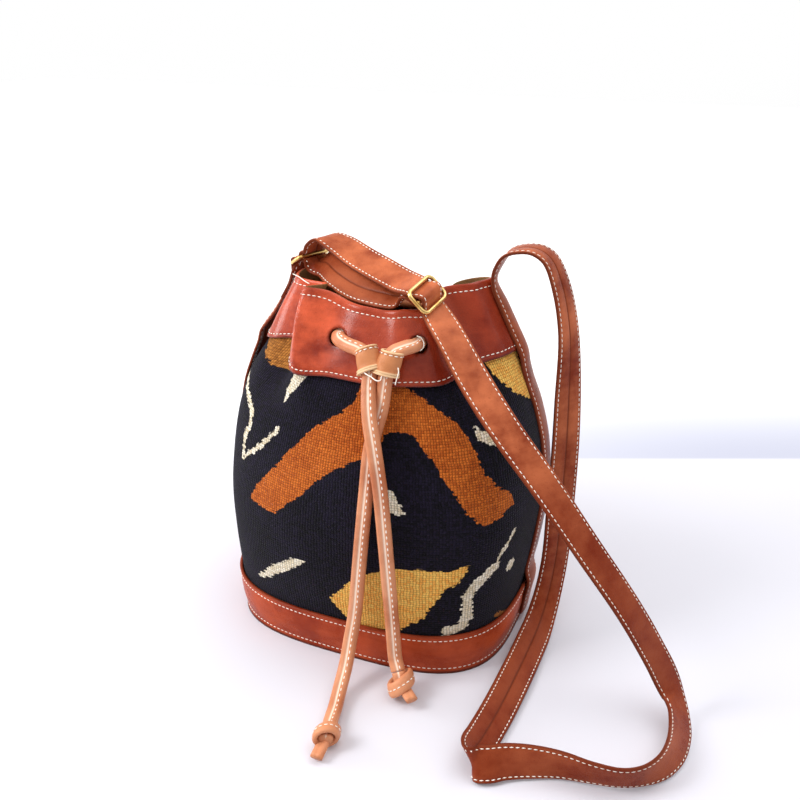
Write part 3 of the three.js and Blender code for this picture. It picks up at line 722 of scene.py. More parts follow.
def knot(name, row):
    """A knot, and the stitch row of its turn with the way it faces."""
    at = np.array(row["at"], float)
    along = unit(np.array(row["along"], float))
    tail = unit(np.array(row["tail"], float))
    front = unit(KNOT_FACING - np.dot(KNOT_FACING, along) * along)
    side = np.cross(along, front)
    core = at + along * np.linspace(-KNOT_LENGTH / 2, KNOT_LENGTH / 2 - CORE_SHORT, CORE_STEPS)[:, None]
    bm = swept(np.array(CORD_SECTION) * CORE_SCALE, core, steady(-side, CORE_STEPS),
               steady(front, CORE_STEPS), CORD_EDGES)
    turn = np.linspace(0, 2 * np.pi, TURN_STEPS)
    reach = row["wrap"] + TURN_OUT
    ring = (at + front * (reach * np.cos(turn))[:, None] + side * (reach * TURN_OVAL * np.sin(turn))[:, None]
            + along * (TURN_RISE * np.sin(turn + TURN_LEAN))[:, None])
    out = unit(ring - at - along * ((ring - at) @ along)[:, None])
    way = unit(np.roll(ring[:-1], -1, axis=0) - np.roll(ring[:-1], 1, axis=0))
    way = np.vstack([way, way[:1]])
    out = unit(out - way * np.sum(out * way, axis=1, keepdims=True))
    join_in(bm, swept(KNOT_BAND, ring, np.cross(out, way), out, None, ends=False))
    end = at + tail * np.linspace(TAIL_START, TAIL_STOP, TAIL_STEPS)[:, None] + TAIL_HANG
    lie = unit(UPWARDS - tail[2] * tail)
    join_in(bm, swept(np.array(CORD_SECTION) * TAIL_SCALE, end, steady(np.cross(lie, tail), TAIL_STEPS),
                      steady(lie, TAIL_STEPS)))
    piece = new_piece(name + "_turn", bm, CORD_HIDE, [name])
    return piece, (ring + out * TURN_SEAM_OUT, out)


knot_right, right_turn = knot("knot_right", KNOTS["right"])
knot_left, left_turn = knot("knot_left", KNOTS["left"])

# Pitch, length and width of the stitches on the cords and on the keeper and knots.
# The first steps of a cord, inside the collar, have none
CORD_STITCH = (3.4, 2.2, 0.8)
BAND_STITCH = (2.8, 2.2, 0.7)
BARE_STEPS = 4
cord_thread = stitching("cord_stitching", [
    stitch_places(left_seam[BARE_STEPS:], left_faces[BARE_STEPS:], *CORD_STITCH),
    stitch_places(right_seam[BARE_STEPS:], right_faces[BARE_STEPS:], *CORD_STITCH),
    *[stitch_places(line, normals, *BAND_STITCH)
      for line, normals in [*keeper_rows, right_turn, left_turn]],
])

# Loose ends of thread: under the two bands of the keeper, round the right hole, and at the left of the mouth
THREAD_WIDTH = 0.6
THREAD_SIDES = 6
THREAD_STEPS = 6
THREAD_ENDS = [
    [(9.1, -62, 177.3), (12, -64, 176.1), (16.2, -66, 175.6), (19.3, -67, 174.6), (21.7, -67.5, 175.2),
     (22.3, -67, 177.2)],
    [(28.2, -60, 180.1), (29.1, -61.5, 178.1), (28.5, -62.5, 175.1), (27.7, -62.5, 171.8)],
    [(31.9, -44, 192.1), (33.7, -43, 190.9), (34.9, -42.5, 188.8), (35.3, -43.5, 186.5), (34.4, -46, 185.1)],
    [(-53.6, -16, 207.4), (-48.8, -18, 206.8), (-44.4, -20, 205.6), (-40.4, -22, 205)],
]


def loose_threads():
    bm = bmesh.new()
    for table in THREAD_ENDS:
        points = smooth_route(table, THREAD_STEPS)
        section = round_section(THREAD_WIDTH, THREAD_SIDES)
        join_in(bm, swept(section, points, *faced(points, CORD_FACING)))
    return new_piece("loose_threads", bm, THREAD)


loose_threads()


# The bag's skin

SECTIONS = {
    "z": [0, 27, 60, 92, 125, 150, 170, 188, 204],
    "left": [85, 90, 93, 95, 92, 84, 71, 62, 54],
    "right": [79, 83, 88, 91, 88, 80, 71, 62, 54],
    "front": [67, 72, 75, 75, 69, 61, 53, 43, 33],
    "back": [62, 68, 71, 71, 65, 56, 46, 36, 27],
    "square": [3.4, 3.0, 2.7, 2.5, 2.4, 2.3, 2.2, 2.2, 2.2],
}
# Pleats of the gathered mouth: angle, drift, spread, depth, and the heights where they start and are full.
# Drift is how many degrees a pleat moves round for each millimetre below the rim
PLEATS = [
    (225, 0.34, 10.5, 9.5, 140, 205), (209, 0.23, 10.5, -13, 135, 168), (336, 0, 17, -13, 130, 200),
    (30, 0, 14, -8, 130, 200), (54, 0, 12, 5, 130, 200), (135, 0, 18, -5, 130, 200),
]
# Finer folds of the leather and the cloth below it: angle, spread, depth, and the heights as for pleats
FOLDS = [
    (252, 8, -0.3, 168, 190), (266, 8, 0.25, 172, 192), (283, 9, -0.4, 172, 196), (296, 5, 0.8, 165, 190),
    (316, 5, 1.3, 160, 188), (326, 4, -1.5, 160, 190), (339, 4, -1.6, 158, 188), (349, 3.5, 1.4, 158, 188),
    (196, 4, 0.8, 150, 185), (42, 5, -1.0, 160, 190), (68, 5, -0.9, 160, 190), (84, 6, 0.9, 160, 190),
    (101, 5, -0.8, 165, 190), (118, 6, 1.0, 160, 190), (149, 6, 1.2, 155, 190), (160, 4, -0.7, 165, 190),
]
# The sharp corner of the front left pleat, which drifts with it: the skin falls away from it on both sides
CORNER = {"angle": 226, "drift": 0.34, "sharp": 4.0, "spread": 13.0, "depth": 2.4, "from": 150, "full": 195}
# Soft hollows and swells of the standing cloth: angle, height, their spreads, and depth
SWELLS = [
    (250, 60, 22, 26, 1.2), (295, 75, 24, 30, -1.4), (230, 110, 16, 30, -1.2), (325, 95, 16, 34, 1.4),
    (272, 130, 16, 18, 1.0), (348, 60, 10, 30, -1.0), (210, 70, 12, 30, 1.2), (60, 80, 24, 30, 1.5),
    (100, 60, 20, 26, -1.6), (130, 105, 22, 30, 1.4), (30, 110, 16, 30, -1.2), (160, 60, 10, 30, 1.0),
]
# The swells start above the band: from nothing at one height to full at the other
SWELLS_FROM = 20
SWELLS_FULL = 45
# Along the two sewn strips the skin has no folds or swells: angle, spread
PLAIN_STRIPS = [(6, 9), (180, 11)]
# The rim rides up at the sides and dips between them: angle, spread, lift
RIM_LIFTS = [
    (0, 40, 9), (180, 30, 2), (275, 40, -3), (318, 16, -4), (230, 15, 4.5), (288, 12, -1.5), (58, 34, -12),
]
# The lift grows from nothing at one height to full at the other
LIFT_FROM = 110
LIFT_FULL = 195
BAND_TOP = 27.0
COLLAR_BOTTOM = 169.0
RIM = 204.0
SEAM_LAP = 9.0
# Thickness of the cloth and the leather, and how far the outside of lapped leather lies from the cloth's
CLOTH = 1.6
LEATHER = 1.8
LAP_OUTER = 2.4


def turned(angle, middle):
    return (angle - middle + 180) % 360 - 180


def ease(low, high, z):
    share = np.clip((z - low) / (high - low), 0, 1)
    return share * share * (3 - 2 * share)


def bell(angle, middle, spread):
    return np.exp(-(turned(angle, middle) / spread) ** 2)


def hump(z, middle, spread):
    return np.exp(-((z - middle) / spread) ** 2)


def size_at(name, z):
    """One row of the section table at any height, by a cubic through its values."""
    heights = np.array(SECTIONS["z"], float)
    sizes = np.array(SECTIONS[name], float)
    last = len(heights) - 1
    low = np.maximum(np.arange(last + 1) - 1, 0)
    high = np.minimum(np.arange(last + 1) + 1, last)
    slopes = (sizes[high] - sizes[low]) / (heights[high] - heights[low])
    k = np.clip(np.searchsorted(heights, z) - 1, 0, last - 1)
    span = heights[k + 1] - heights[k]
    t = (z - heights[k]) / span
    rise = sizes[k] * (1 + 2 * t) * (1 - t) ** 2 + sizes[k + 1] * t * t * (3 - 2 * t)
    return rise + span * (slopes[k] * t * (1 - t) ** 2 + slopes[k + 1] * t * t * (t - 1))


def soft(angle, z):
    """Fine folds and swells, kept away from the two sewn strips."""
    move = np.zeros(np.broadcast(angle, z).shape)
    for middle, spread, depth, start, full in FOLDS:
        move = move + depth * bell(angle, middle, spread) * ease(start, full, z)
    from_corner = np.abs(turned(angle - CORNER["drift"] * (RIM - z), CORNER["angle"]))
    fallen = (1 - np.exp(-from_corner / CORNER["sharp"])) * hump(from_corner, 0, CORNER["spread"])
    move = move - CORNER["depth"] * fallen * ease(CORNER["from"], CORNER["full"], z)
    for middle, height, spread, tall, depth in SWELLS:
        swell = depth * bell(angle, middle, spread) * hump(z, height, tall)
        move = move + swell * ease(SWELLS_FROM, SWELLS_FULL, z)
    for middle, spread in PLAIN_STRIPS:
        move = move * (1 - bell(angle, middle, spread))
    return move


def bag_skin(angle, z, out=0.0, folded=True):
    """Points on the outside of the cloth, moved outwards by a distance."""
    angle = np.asarray(angle, float)
    z = np.asarray(z, float)
    across, deep = np.cos(np.radians(angle)), np.sin(np.radians(angle))
    width = np.where(across < 0, size_at("left", z), size_at("right", z))
    depth = np.where(deep < 0, size_at("front", z), size_at("back", z))
    power = size_at("square", z)
    reach = (np.abs(across / width) ** power + np.abs(deep / depth) ** power) ** (-1 / power)
    for middle, drift, spread, pleat, start, full in PLEATS:
        reach = reach + pleat * bell(angle - drift * (RIM - z), middle, spread) * ease(start, full, z)
    if folded:
        reach = reach + soft(angle, z)
    reach = reach + out
    lift = sum(rise * bell(angle, middle, spread) for middle, spread, rise in RIM_LIFTS)
    return np.stack([reach * across, reach * deep, z + lift * ease(LIFT_FROM, LIFT_FULL, z)], axis=-1)


# Directions out of the skin are taken from points this far to either side, in degrees and millimetres
NEARBY = 0.5


def skin_normals(angle, z, out):
    sideways = bag_skin(angle + NEARBY, z, out) - bag_skin(angle - NEARBY, z, out)
    rise = bag_skin(angle, z + NEARBY, out) - bag_skin(angle, z - NEARBY, out)
    return unit(np.cross(sideways, rise))


# Angles at equal steps round the belly, so that yarns keep one width
BELLY_HEIGHT = 95.0
BELLY_STEPS = 1441
belly_angles = np.linspace(90, 450, BELLY_STEPS)
belly_points = bag_skin(belly_angles, BELLY_HEIGHT, 0, False)
belly_gone = np.concatenate([[0], np.cumsum(np.linalg.norm(np.diff(belly_points, axis=0), axis=1))])


def even_angle(u):
    return np.interp(u * belly_gone[-1], belly_gone, belly_angles)


# The cloth and its figures. Each is an outline, or a stroke of some width, in points on the cloth: distance
# from the front's middle, and height

FIGURES = {
    "rust": [
        ([(-58, 101), (-45, 116), (-32, 132), (-22, 142), (-5, 152), (4, 159), (7, 166), (11, 174), (22, 177),
          (39, 173), (44, 167), (55, 162), (64, 156), (72, 150), (76, 142), (79, 132), (81, 123), (87, 116),
          (96, 109), (97, 102), (90, 99), (79, 95), (71, 103), (62, 120), (55, 133), (47, 143), (42, 146),
          (34, 146), (28, 145), (26, 140), (19, 133), (8, 128), (-4, 122), (-16, 113), (-27, 102), (-44, 87),
          (-64, 88)], 0),
        ([(152, 62), (184, 96), (214, 130), (244, 150), (263, 153), (263, 122), (240, 117), (212, 95),
          (188, 62), (172, 46)], 0),
        ([(-263, 153), (-236, 147), (-206, 121), (-178, 90), (-160, 68), (-178, 50), (-202, 77), (-233, 112),
          (-263, 122)], 0),
    ],
    "brown": [
        ([(-112, 172), (-110, 186), (-54, 186), (-55, 176), (-58, 166), (-72, 157), (-94, 160)], 0),
        ([(93, 30), (101, 26)], 3.0),
    ],
    "ochre": [
        ([(111, 182), (129, 182), (136, 153), (131, 145), (117, 151), (110, 157), (107, 161), (104, 168)], 0),
        ([(32, 68), (45, 71), (61, 70), (70, 73), (73, 73), (70, 68), (66, 61), (61, 59), (58, 54), (54, 47),
          (50, 40), (46, 36), (35, 28), (28, 28), (16, 24), (7, 26), (-4, 35), (-8, 42), (1, 50), (7, 57),
          (18, 64)], 0),
        ([(263, 70), (246, 60), (228, 38), (240, 26), (263, 22)], 0),
        ([(-263, 70), (-242, 64), (-224, 46), (-238, 28), (-263, 22)], 0),
        ([(160, 184), (188, 184), (192, 162), (174, 150), (156, 164)], 0),
        ([(-188, 184), (-158, 184), (-150, 166), (-166, 152), (-184, 158)], 0),
    ],
    "cream": [
        ([(-104, 147), (-93, 143), (-81, 139), (-75, 135), (-74, 128), (-77, 121), (-75, 108)], 3.0),
        ([(-75, 108), (-61, 121), (-50, 133)], 2.6),
        ([(-46, 168), (-34, 170), (-38, 164), (-43, 157), (-49, 150), (-52, 147), (-54, 153), (-49, 161)], 0),
        ([(81, 146), (88, 142), (92, 136), (91, 135), (86, 137), (81, 140)], 0),
        ([(28, 115), (33, 115), (36, 110), (39, 105), (39, 102), (34, 102), (28, 104)], 0),
        ([(98, 85), (89, 74), (87, 68)], 2.6),
        ([(86, 67), (77, 60), (72, 53), (72, 44), (73, 38), (70, 32), (62, 30)], 6.0),
        ([(99, 62), (99.5, 62)], 7.0),
        ([(-60, 38), (-49, 50), (-32, 62), (-22, 63), (-33, 54), (-47, 44), (-58, 37)], 0),
        ([(196, 152), (206, 142), (216, 145), (222, 156)], 3.0),
        ([(168, 118), (160, 106), (158, 92)], 3.0),
        ([(232, 88), (238, 81)], 4.5),
        ([(192, 28), (206, 42), (208, 58)], 5.0),
        ([(-218, 148), (-202, 158), (-190, 156), (-184, 146)], 3.0),
        ([(-150, 122), (-160, 108), (-172, 112)], 3.0),
        ([(-228, 92), (-221, 82)], 4.0),
        ([(-196, 30), (-184, 44), (-166, 48)], 4.5),
    ],
}
# Distance on the cloth to a degree round the bag
CLOTH_PER_DEGREE = 1.45


def depth_in(spots, points, stroke):
    """How deep spots lie in a drawn figure: an outline, or a stroke of some width. Less than 0 is outside."""
    points = np.array(points, float)
    ends = np.roll(points, -1, axis=0) if not stroke else points[1:]
    starts = points if not stroke else points[:-1]
    near = np.full(len(spots), np.inf)
    inside = np.zeros(len(spots), bool)
    for a, b in zip(starts, ends):
        edge = b - a
        share = np.clip(((spots - a) @ edge) / (edge @ edge), 0, 1)
        near = np.minimum(near, np.linalg.norm(spots - a - share[:, None] * edge, axis=1))
        if not stroke and a[1] != b[1]:
            crosses = (a[1] > spots[:, 1]) != (b[1] > spots[:, 1])
            inside ^= crosses & (spots[:, 0] < a[0] + (spots[:, 1] - a[1]) * edge[0] / edge[1])
    return stroke / 2 - near if stroke else np.where(inside, near, -near)


CLOTH_COLUMNS = 372
CLOTH_ROWS = 118
# What a figure's depth is at least, in metres
FAR_OUTSIDE = -0.05
CLOTH_BOTTOM = BAND_TOP - SEAM_LAP
CLOTH_TOP = COLLAR_BOTTOM + SEAM_LAP


def cloth_height(v):
    return CLOTH_BOTTOM + (CLOTH_TOP - CLOTH_BOTTOM) * v


def body_figures(u, v):
    spots = np.stack([CLOTH_PER_DEGREE * (even_angle(u) - 270), cloth_height(v)], axis=1)
    depths = {}
    for name, figures in FIGURES.items():
        deep = np.full(len(spots), FAR_OUTSIDE)
        for points, stroke in figures:
            deep = np.maximum(deep, depth_in(spots, points, stroke) * MM)
        depths[name] = deep
    return depths


def body_point(u, v):
    return bag_skin(even_angle(u), cloth_height(v))


body_bm = lattice(CLOTH_COLUMNS, CLOTH_ROWS, body_point, body_figures)
body = thicken(new_piece("woven_body", body_bm, MUDCLOTH, ["body_cloth"]), CLOTH)


# The base: a band that laps the cloth, and the flat bottom inside it

BAND_ROWS = 26
BAND_COLUMNS = 320
BAND_SEAMS = [3.4, BAND_TOP - 2.6]
BAND_SEAM_OUT = LAP_OUTER - 0.05
SEAM_GROOVE = 0.3
BAND_GROOVE_WIDTH = 0.7
# The rolled foot of the band and the slight swell between its seams: how far out, middle and spread
BAND_ROLL = (0.7, 0, 1.6)
BAND_SWELL = (0.5, 13, 7)
# How worn its foot and its top edge are, and the heights over which that fades
FOOT_WORN = 0.95
FOOT_FADE = (0.8, 2.4)
TOP_WORN = 0.5
TOP_FADE = 0.8


def band_out(z):
    rolled, *roll_place = BAND_ROLL
    swell, *swell_place = BAND_SWELL
    groove = sum(hump(z, seam, BAND_GROOVE_WIDTH) for seam in BAND_SEAMS)
    return LAP_OUTER + rolled * hump(z, *roll_place) - SEAM_GROOVE * groove + swell * hump(z, *swell_place)


def band_point(u, v):
    z = BAND_TOP * v
    return bag_skin(even_angle(u), z, band_out(z))


def band_edge(u, v):
    z = BAND_TOP * v
    foot = FOOT_WORN * (1 - ease(*FOOT_FADE, z))
    return {"edge": np.maximum(foot, TOP_WORN * ease(BAND_TOP - TOP_FADE, BAND_TOP, z))}


band_bm = lattice(BAND_COLUMNS, BAND_ROWS, band_point, band_edge)
thicken(new_piece("band_leather", band_bm, BASE_HIDE, ["base_band"]), LEATHER)

# The bottom, from its middle out to its edge and back: share of the way out, and height
PANEL_PROFILE = [
    (0, 0), (0.3, 0), (0.6, 0), (0.9, 0), (0.975, 0), (0.995, 0.4), (1.0, 1.0), (0.99, 1.7), (0.97, 2.0),
    (0.6, 2.0), (0.3, 2.0), (0, 2.0),
]
PANEL_COLUMNS = 120
PANEL_WORN = 0.8
PANEL_EDGE = 0.2


def panel_point(u, v):
    profile = np.array(PANEL_PROFILE, float)
    row = np.round(v * (len(profile) - 1)).astype(int)
    edge = bag_skin(360 * u, np.zeros_like(u), 0, False)
    return np.stack([edge[:, 0] * profile[row, 0], edge[:, 1] * profile[row, 0], profile[row, 1]], axis=1)


def panel_edge(u, v):
    return {"edge": np.where(np.abs(v - 0.5) < PANEL_EDGE, PANEL_WORN, 0.0)}


panel_bm = lattice(PANEL_COLUMNS, len(PANEL_PROFILE) - 1, panel_point, panel_edge)
new_piece("bottom_leather", panel_bm, BASE_HIDE, ["base_panel"])


# The collar: one sheet turned in over the rim, with a punched hole for each end of the drawstring

HOLES = [(254, 187.5), (308, 188.5)]
HOLE_RADIUS = 4.75
COLLAR_WALL = 1.5
RIM_ROUND = 0.75
COLLAR_SEAMS = [COLLAR_BOTTOM + 2.3, RIM - 3.4]
COLLAR_SEAM_OUT = LAP_OUTER + 0.05
COLLAR_GROOVE_WIDTH = 0.8
# The hem above the upper seam stands out a little, from nothing to full over this height
HEM_OUT = 0.35
HEM_HEIGHT = 1.8
# How worn the lower edge and the holes are, and how far from them that fades
COLLAR_WORN = 0.7
COLLAR_FADE = (0.2, 1.2)
HOLE_WORN = 0.9
HOLE_FADE = 1.6
# Past this share of the turn over the rim, the flesh side shows
FLESH_FROM = 0.6
COLLAR_COLUMNS = 340
COLLAR_UP = 30
COLLAR_TURN = 6
COLLAR_DOWN = 12
COLLAR_ROWS = COLLAR_UP + COLLAR_TURN + COLLAR_DOWN
# The lower edge hangs down at the front left corner and is drawn up beside it: angle, spread, drop
COLLAR_DROPS = [(238, 12, 4.5), (211, 9, -4.5)]
DROP_UP_TO = 190.0
# Painted light and shade round the collar: lighter at the front left corner, where the light falls, and
# darker towards the right
COLLAR_PAINTED_LIGHT_ANGLES = [0, 90, 180, 215, 238, 250, 265, 300, 320, 360]
COLLAR_PAINTED_LIGHT = [0.9, 0.6, 0.6, 0.3, 0.0, 0.2, 0.5, 0.65, 0.95, 0.9]


def collar_profile(row):
    """Height, distance out, and side of the wall: 0 up the outside, over the rim to 1 down the inside."""
    rising = COLLAR_BOTTOM + (RIM - RIM_ROUND - COLLAR_BOTTOM) * np.clip(row / COLLAR_UP, 0, 1)
    half = np.pi * np.clip((row - COLLAR_UP) / COLLAR_TURN, 0, 1)
    falling = (RIM - RIM_ROUND - COLLAR_BOTTOM) * np.clip((row - COLLAR_UP - COLLAR_TURN) / COLLAR_DOWN, 0, 1)
    groove = sum(hump(rising, seam, COLLAR_GROOVE_WIDTH) for seam in COLLAR_SEAMS) * (row <= COLLAR_UP)
    hem = HEM_OUT * ease(COLLAR_SEAMS[1], COLLAR_SEAMS[1] + HEM_HEIGHT, rising) * (1 + np.cos(half)) / 2
    out = LAP_OUTER - SEAM_GROOVE * groove + hem - COLLAR_WALL * (1 - np.cos(half)) / 2
    return rising + RIM_ROUND * np.sin(half) - falling, out, half / np.pi


def collar_row(v):
    return np.round(v * (COLLAR_ROWS + 1)) % (COLLAR_ROWS + 1)


def hung(angle, z):
    """Heights of the collar, lower where its corner hangs down."""
    drop = sum(fall * bell(angle, middle, spread) for middle, spread, fall in COLLAR_DROPS)
    return z - drop * (1 - ease(COLLAR_BOTTOM, DROP_UP_TO, z))


def collar_point(u, v):
    z, out, _ = collar_profile(collar_row(v))
    return bag_skin(even_angle(u), hung(even_angle(u), z), out)


def collar_values(u, v):
    z, _, inside = collar_profile(collar_row(v))
    spots = collar_point(u, v)
    # Painted light and shade round the collar, kept in its depth attribute
    painted_light_tone = np.interp(even_angle(u) % 360, COLLAR_PAINTED_LIGHT_ANGLES, COLLAR_PAINTED_LIGHT)
    edge = COLLAR_WORN * (1 - ease(*COLLAR_FADE, z - COLLAR_BOTTOM))
    for angle, height in HOLES:
        away = np.linalg.norm(spots - bag_skin(angle, height, LAP_OUTER), axis=1)
        edge = np.maximum(edge, HOLE_WORN * (1 - ease(HOLE_RADIUS, HOLE_RADIUS + HOLE_FADE, away)))
    return {"edge": edge, "depth": painted_light_tone, "inside": inside}


def punch(bm, angle, height):
    """A round hole through the wall: faces in its way go, and the edges left are drawn round and joined."""
    middle = Vector(bag_skin(angle, height, LAP_OUTER)) * MM
    axis = Vector(skin_normals(np.float64(angle), np.float64(height), LAP_OUTER))
    radius = HOLE_RADIUS * MM

    def from_axis(point):
        away = point - middle
        return away - axis * away.dot(axis)

    near = [face for face in bm.faces if (face.calc_center_median() - middle).length < 2 * radius]
    inside = [face for face in near if from_axis(face.calc_center_median()).length < radius]
    bmesh.ops.delete(bm, geom=inside, context="FACES")
    edges = [edge for edge in bm.edges if edge.is_boundary]
    for vert in {vert for edge in edges for vert in edge.verts}:
        away = from_axis(vert.co)
        vert.co += away.normalized() * (radius - away.length)
    bmesh.ops.bridge_loops(bm, edges=edges)


collar_bm = lattice(COLLAR_COLUMNS, COLLAR_ROWS + 1, collar_point, collar_values)
inside_layer = collar_bm.verts.layers.float["inside"]
for face in collar_bm.faces:
    face.material_index = int(min(vert[inside_layer] for vert in face.verts) > FLESH_FROM)
for angle, height in HOLES:
    punch(collar_bm, angle, height)
bmesh.ops.recalc_face_normals(collar_bm, faces=collar_bm.faces)
new_piece("collar_sheet", collar_bm, COLLAR_HIDE, ["collar"], SUEDE)


SEAM_STEPS = 721


def seam_round(height, out):
    """Stitches all round the bag at one height, which follow the collar's lower edge."""
    angle = np.linspace(0, 360, SEAM_STEPS)
    z = np.full_like(angle, height)
    if height > COLLAR_BOTTOM:
        z = hung(angle, z)
    return stitch_places(bag_skin(angle, z, out), skin_normals(angle, z, out))


stitching("band_stitching", [seam_round(height, BAND_SEAM_OUT) for height in BAND_SEAMS])
stitching("collar_stitching", [seam_round(height, COLLAR_SEAM_OUT) for height in COLLAR_SEAMS])


# Straps: flat leather with round edges, a stitch row near each edge and a seam down the back

STRIP_WIDTH = 18.5
STRAP_THICKNESS = 2.0
WIRE = 2.2
GAP = 0.3
STITCH_IN = 1.8
STITCH_OUT = 0.85
# A stitch row starts and stops this many steps from a strap's ends
STITCH_ENDS = 2
STRAP_STEPS = 6
RING_LENGTH = 24.4
RING_SPAN = 11.4
SLIDE_LENGTH = 24.0
SLIDE_SPAN = 16.0
BEND_ROOM = 0.8
LIE_ON_CLOTH = GAP + STRAP_THICKNESS / 2
LIE_ON_LEATHER = LAP_OUTER + LIE_ON_CLOTH + 2 * GAP
SEWN_HEIGHTS = [5, 16, 28, 37, 50, 70, 95, 120, 140, 153, 160, 167, 178, 190]
# A sewn strip rises from the cloth on to band and collar: how far from their edges it starts and is up
BAND_STEP = (1, 10)
COLLAR_STEP = (13, 3)
# Half the angle that a sewn strip's direction across is taken over
SEWN_SPREAD = 4
RIGHT_STRIP_ANGLE = 6.0
# The left strip turns round the bag towards the ring, and stands off the bag below the collar
LEFT_STRIP_ANGLE = 186
LEFT_STRIP_TURN = 14
LEFT_TURN_FROM = 140
LEFT_BULGE = 3
LEFT_BULGE_HEIGHT = 165
LEFT_BULGE_SPREAD = 22
LEFT_TOP = 199
# Its tail goes down behind it from the ring
LEFT_TAIL_HEIGHTS = (202, 194, 184)
LEFT_TAIL_OFF = 1.5
LEFT_TAIL_FROM = 190
# Degrees round the ring's two bars
LEFT_RING_TURN = range(180, -31, -30)
RIGHT_RING_TURN = range(70, 311, 30)

# Half of the strap's section: distance from the middle line, height of the face, and how worn it is
GOOD_FACE = [
    (0, 1.12, 0), (4.0, 1.1, 0), (6.3, 1.02, 0), (7.0, 0.95, 0.05), (7.45, 0.74, 0.25), (7.9, 0.93, 0.1),
    (8.5, 0.86, 0.3), (8.95, 0.62, 0.8), (9.2, 0.25, 1),
]
BACK_FACE = [
    (9.2, -0.25, 1), (8.95, -0.62, 0.8), (8.5, -0.86, 0.3), (7.9, -0.93, 0.1), (7.45, -0.74, 0.25),
    (7.0, -0.95, 0.05), (4.0, -1.0, 0), (0.9, -1.0, 0.1), (0.35, -0.85, 0.6), (0, -0.6, 0.9),
]


def strap_section(thickness):
    right = [*GOOD_FACE, *BACK_FACE]
    left = [(-x, y, worn) for x, y, worn in right[-2:0:-1]]
    rows = np.array([*right, *left], float)
    return rows[:, :2] * (1, thickness / STRAP_THICKNESS), rows[:, 2]


def on_leather(z):
    """1 where a sewn strip lies on the band or the collar, 0 where it lies on the cloth."""
    above_band = ease(BAND_TOP + BAND_STEP[0], BAND_TOP + BAND_STEP[1], z)
    return 1 - above_band + ease(COLLAR_BOTTOM - COLLAR_STEP[0], COLLAR_BOTTOM - COLLAR_STEP[1], z)


def sewn_row(angle, z, out):
    """A row of a strip sewn to the bag: its place, and the direction across it."""
    side = bag_skin(angle - SEWN_SPREAD, z, 0, False) - bag_skin(angle + SEWN_SPREAD, z, 0, False)
    return bag_skin(angle, z, out, False), unit(side * (1, 1, 0))


def strap_frames(rows):
    """Places, directions across and directions out of the good face, along a strap."""
    centres = smooth_route([at for at, _ in rows], STRAP_STEPS)
    across = smooth_route([side for _, side in rows], STRAP_STEPS)
    along = tangents(centres)
    across = unit(across - along * np.sum(across * along, axis=1, keepdims=True))
    return centres, across, np.cross(along, across)


RING_AT = np.array([-56.3, 9.5, 210.5])
RING_LONG = unit(np.array([0.36, 0.93, 0]))
RING_SHORT = unit(np.array([-0.785, 0.304, -0.55]))
SLIDE_AT = np.array([32, -30, 209.8])
SLIDE_LONG = unit(np.array([-0.17, -0.96, -0.21]))
slide_lean = np.array([-0.7, -0.03, 0.71])
SLIDE_SHORT = unit(slide_lean - np.dot(slide_lean, SLIDE_LONG) * SLIDE_LONG)
SLIDE_UP = np.cross(SLIDE_SHORT, SLIDE_LONG)


def round_bar(side, reach, across, angles):
    """Rows of a strip that turns round one bar of the ring."""
    bar = RING_AT + RING_SHORT * side * (RING_SPAN - WIRE) / 2
    inwards = np.array([RING_LONG[1], -RING_LONG[0], 0])
    return [(bar + inwards * reach * math.cos(turn) + UPWARDS * (reach * math.sin(turn)), across)
            for turn in map(math.radians, angles)]


def left_strip_rows():
    def row(z, out):
        bulge = LEFT_BULGE * hump(z, LEFT_BULGE_HEIGHT, LEFT_BULGE_SPREAD)
        angle = LEFT_STRIP_ANGLE - LEFT_STRIP_TURN * float(ease(LEFT_TURN_FROM, RIM, z))
        return sewn_row(angle, z, out + bulge)

    outer = LIE_ON_LEATHER + LEATHER + GAP
    rows = []
    for z in [*SEWN_HEIGHTS, LEFT_TOP]:
        far = outer if z > COLLAR_BOTTOM / 2 else LIE_ON_LEATHER
        rows.append(row(z, LIE_ON_CLOTH + (far - LIE_ON_CLOTH) * float(on_leather(z))))
    reach = WIRE / 2 + 2 * GAP + LEATHER / 2
    rows += round_bar(1, reach, RING_LONG, LEFT_RING_TURN)
    for z in LEFT_TAIL_HEIGHTS:
        rows.append(row(z, LIE_ON_LEATHER + LEFT_TAIL_OFF * float(ease(LEFT_TAIL_FROM, RIM, z))))
    return rows


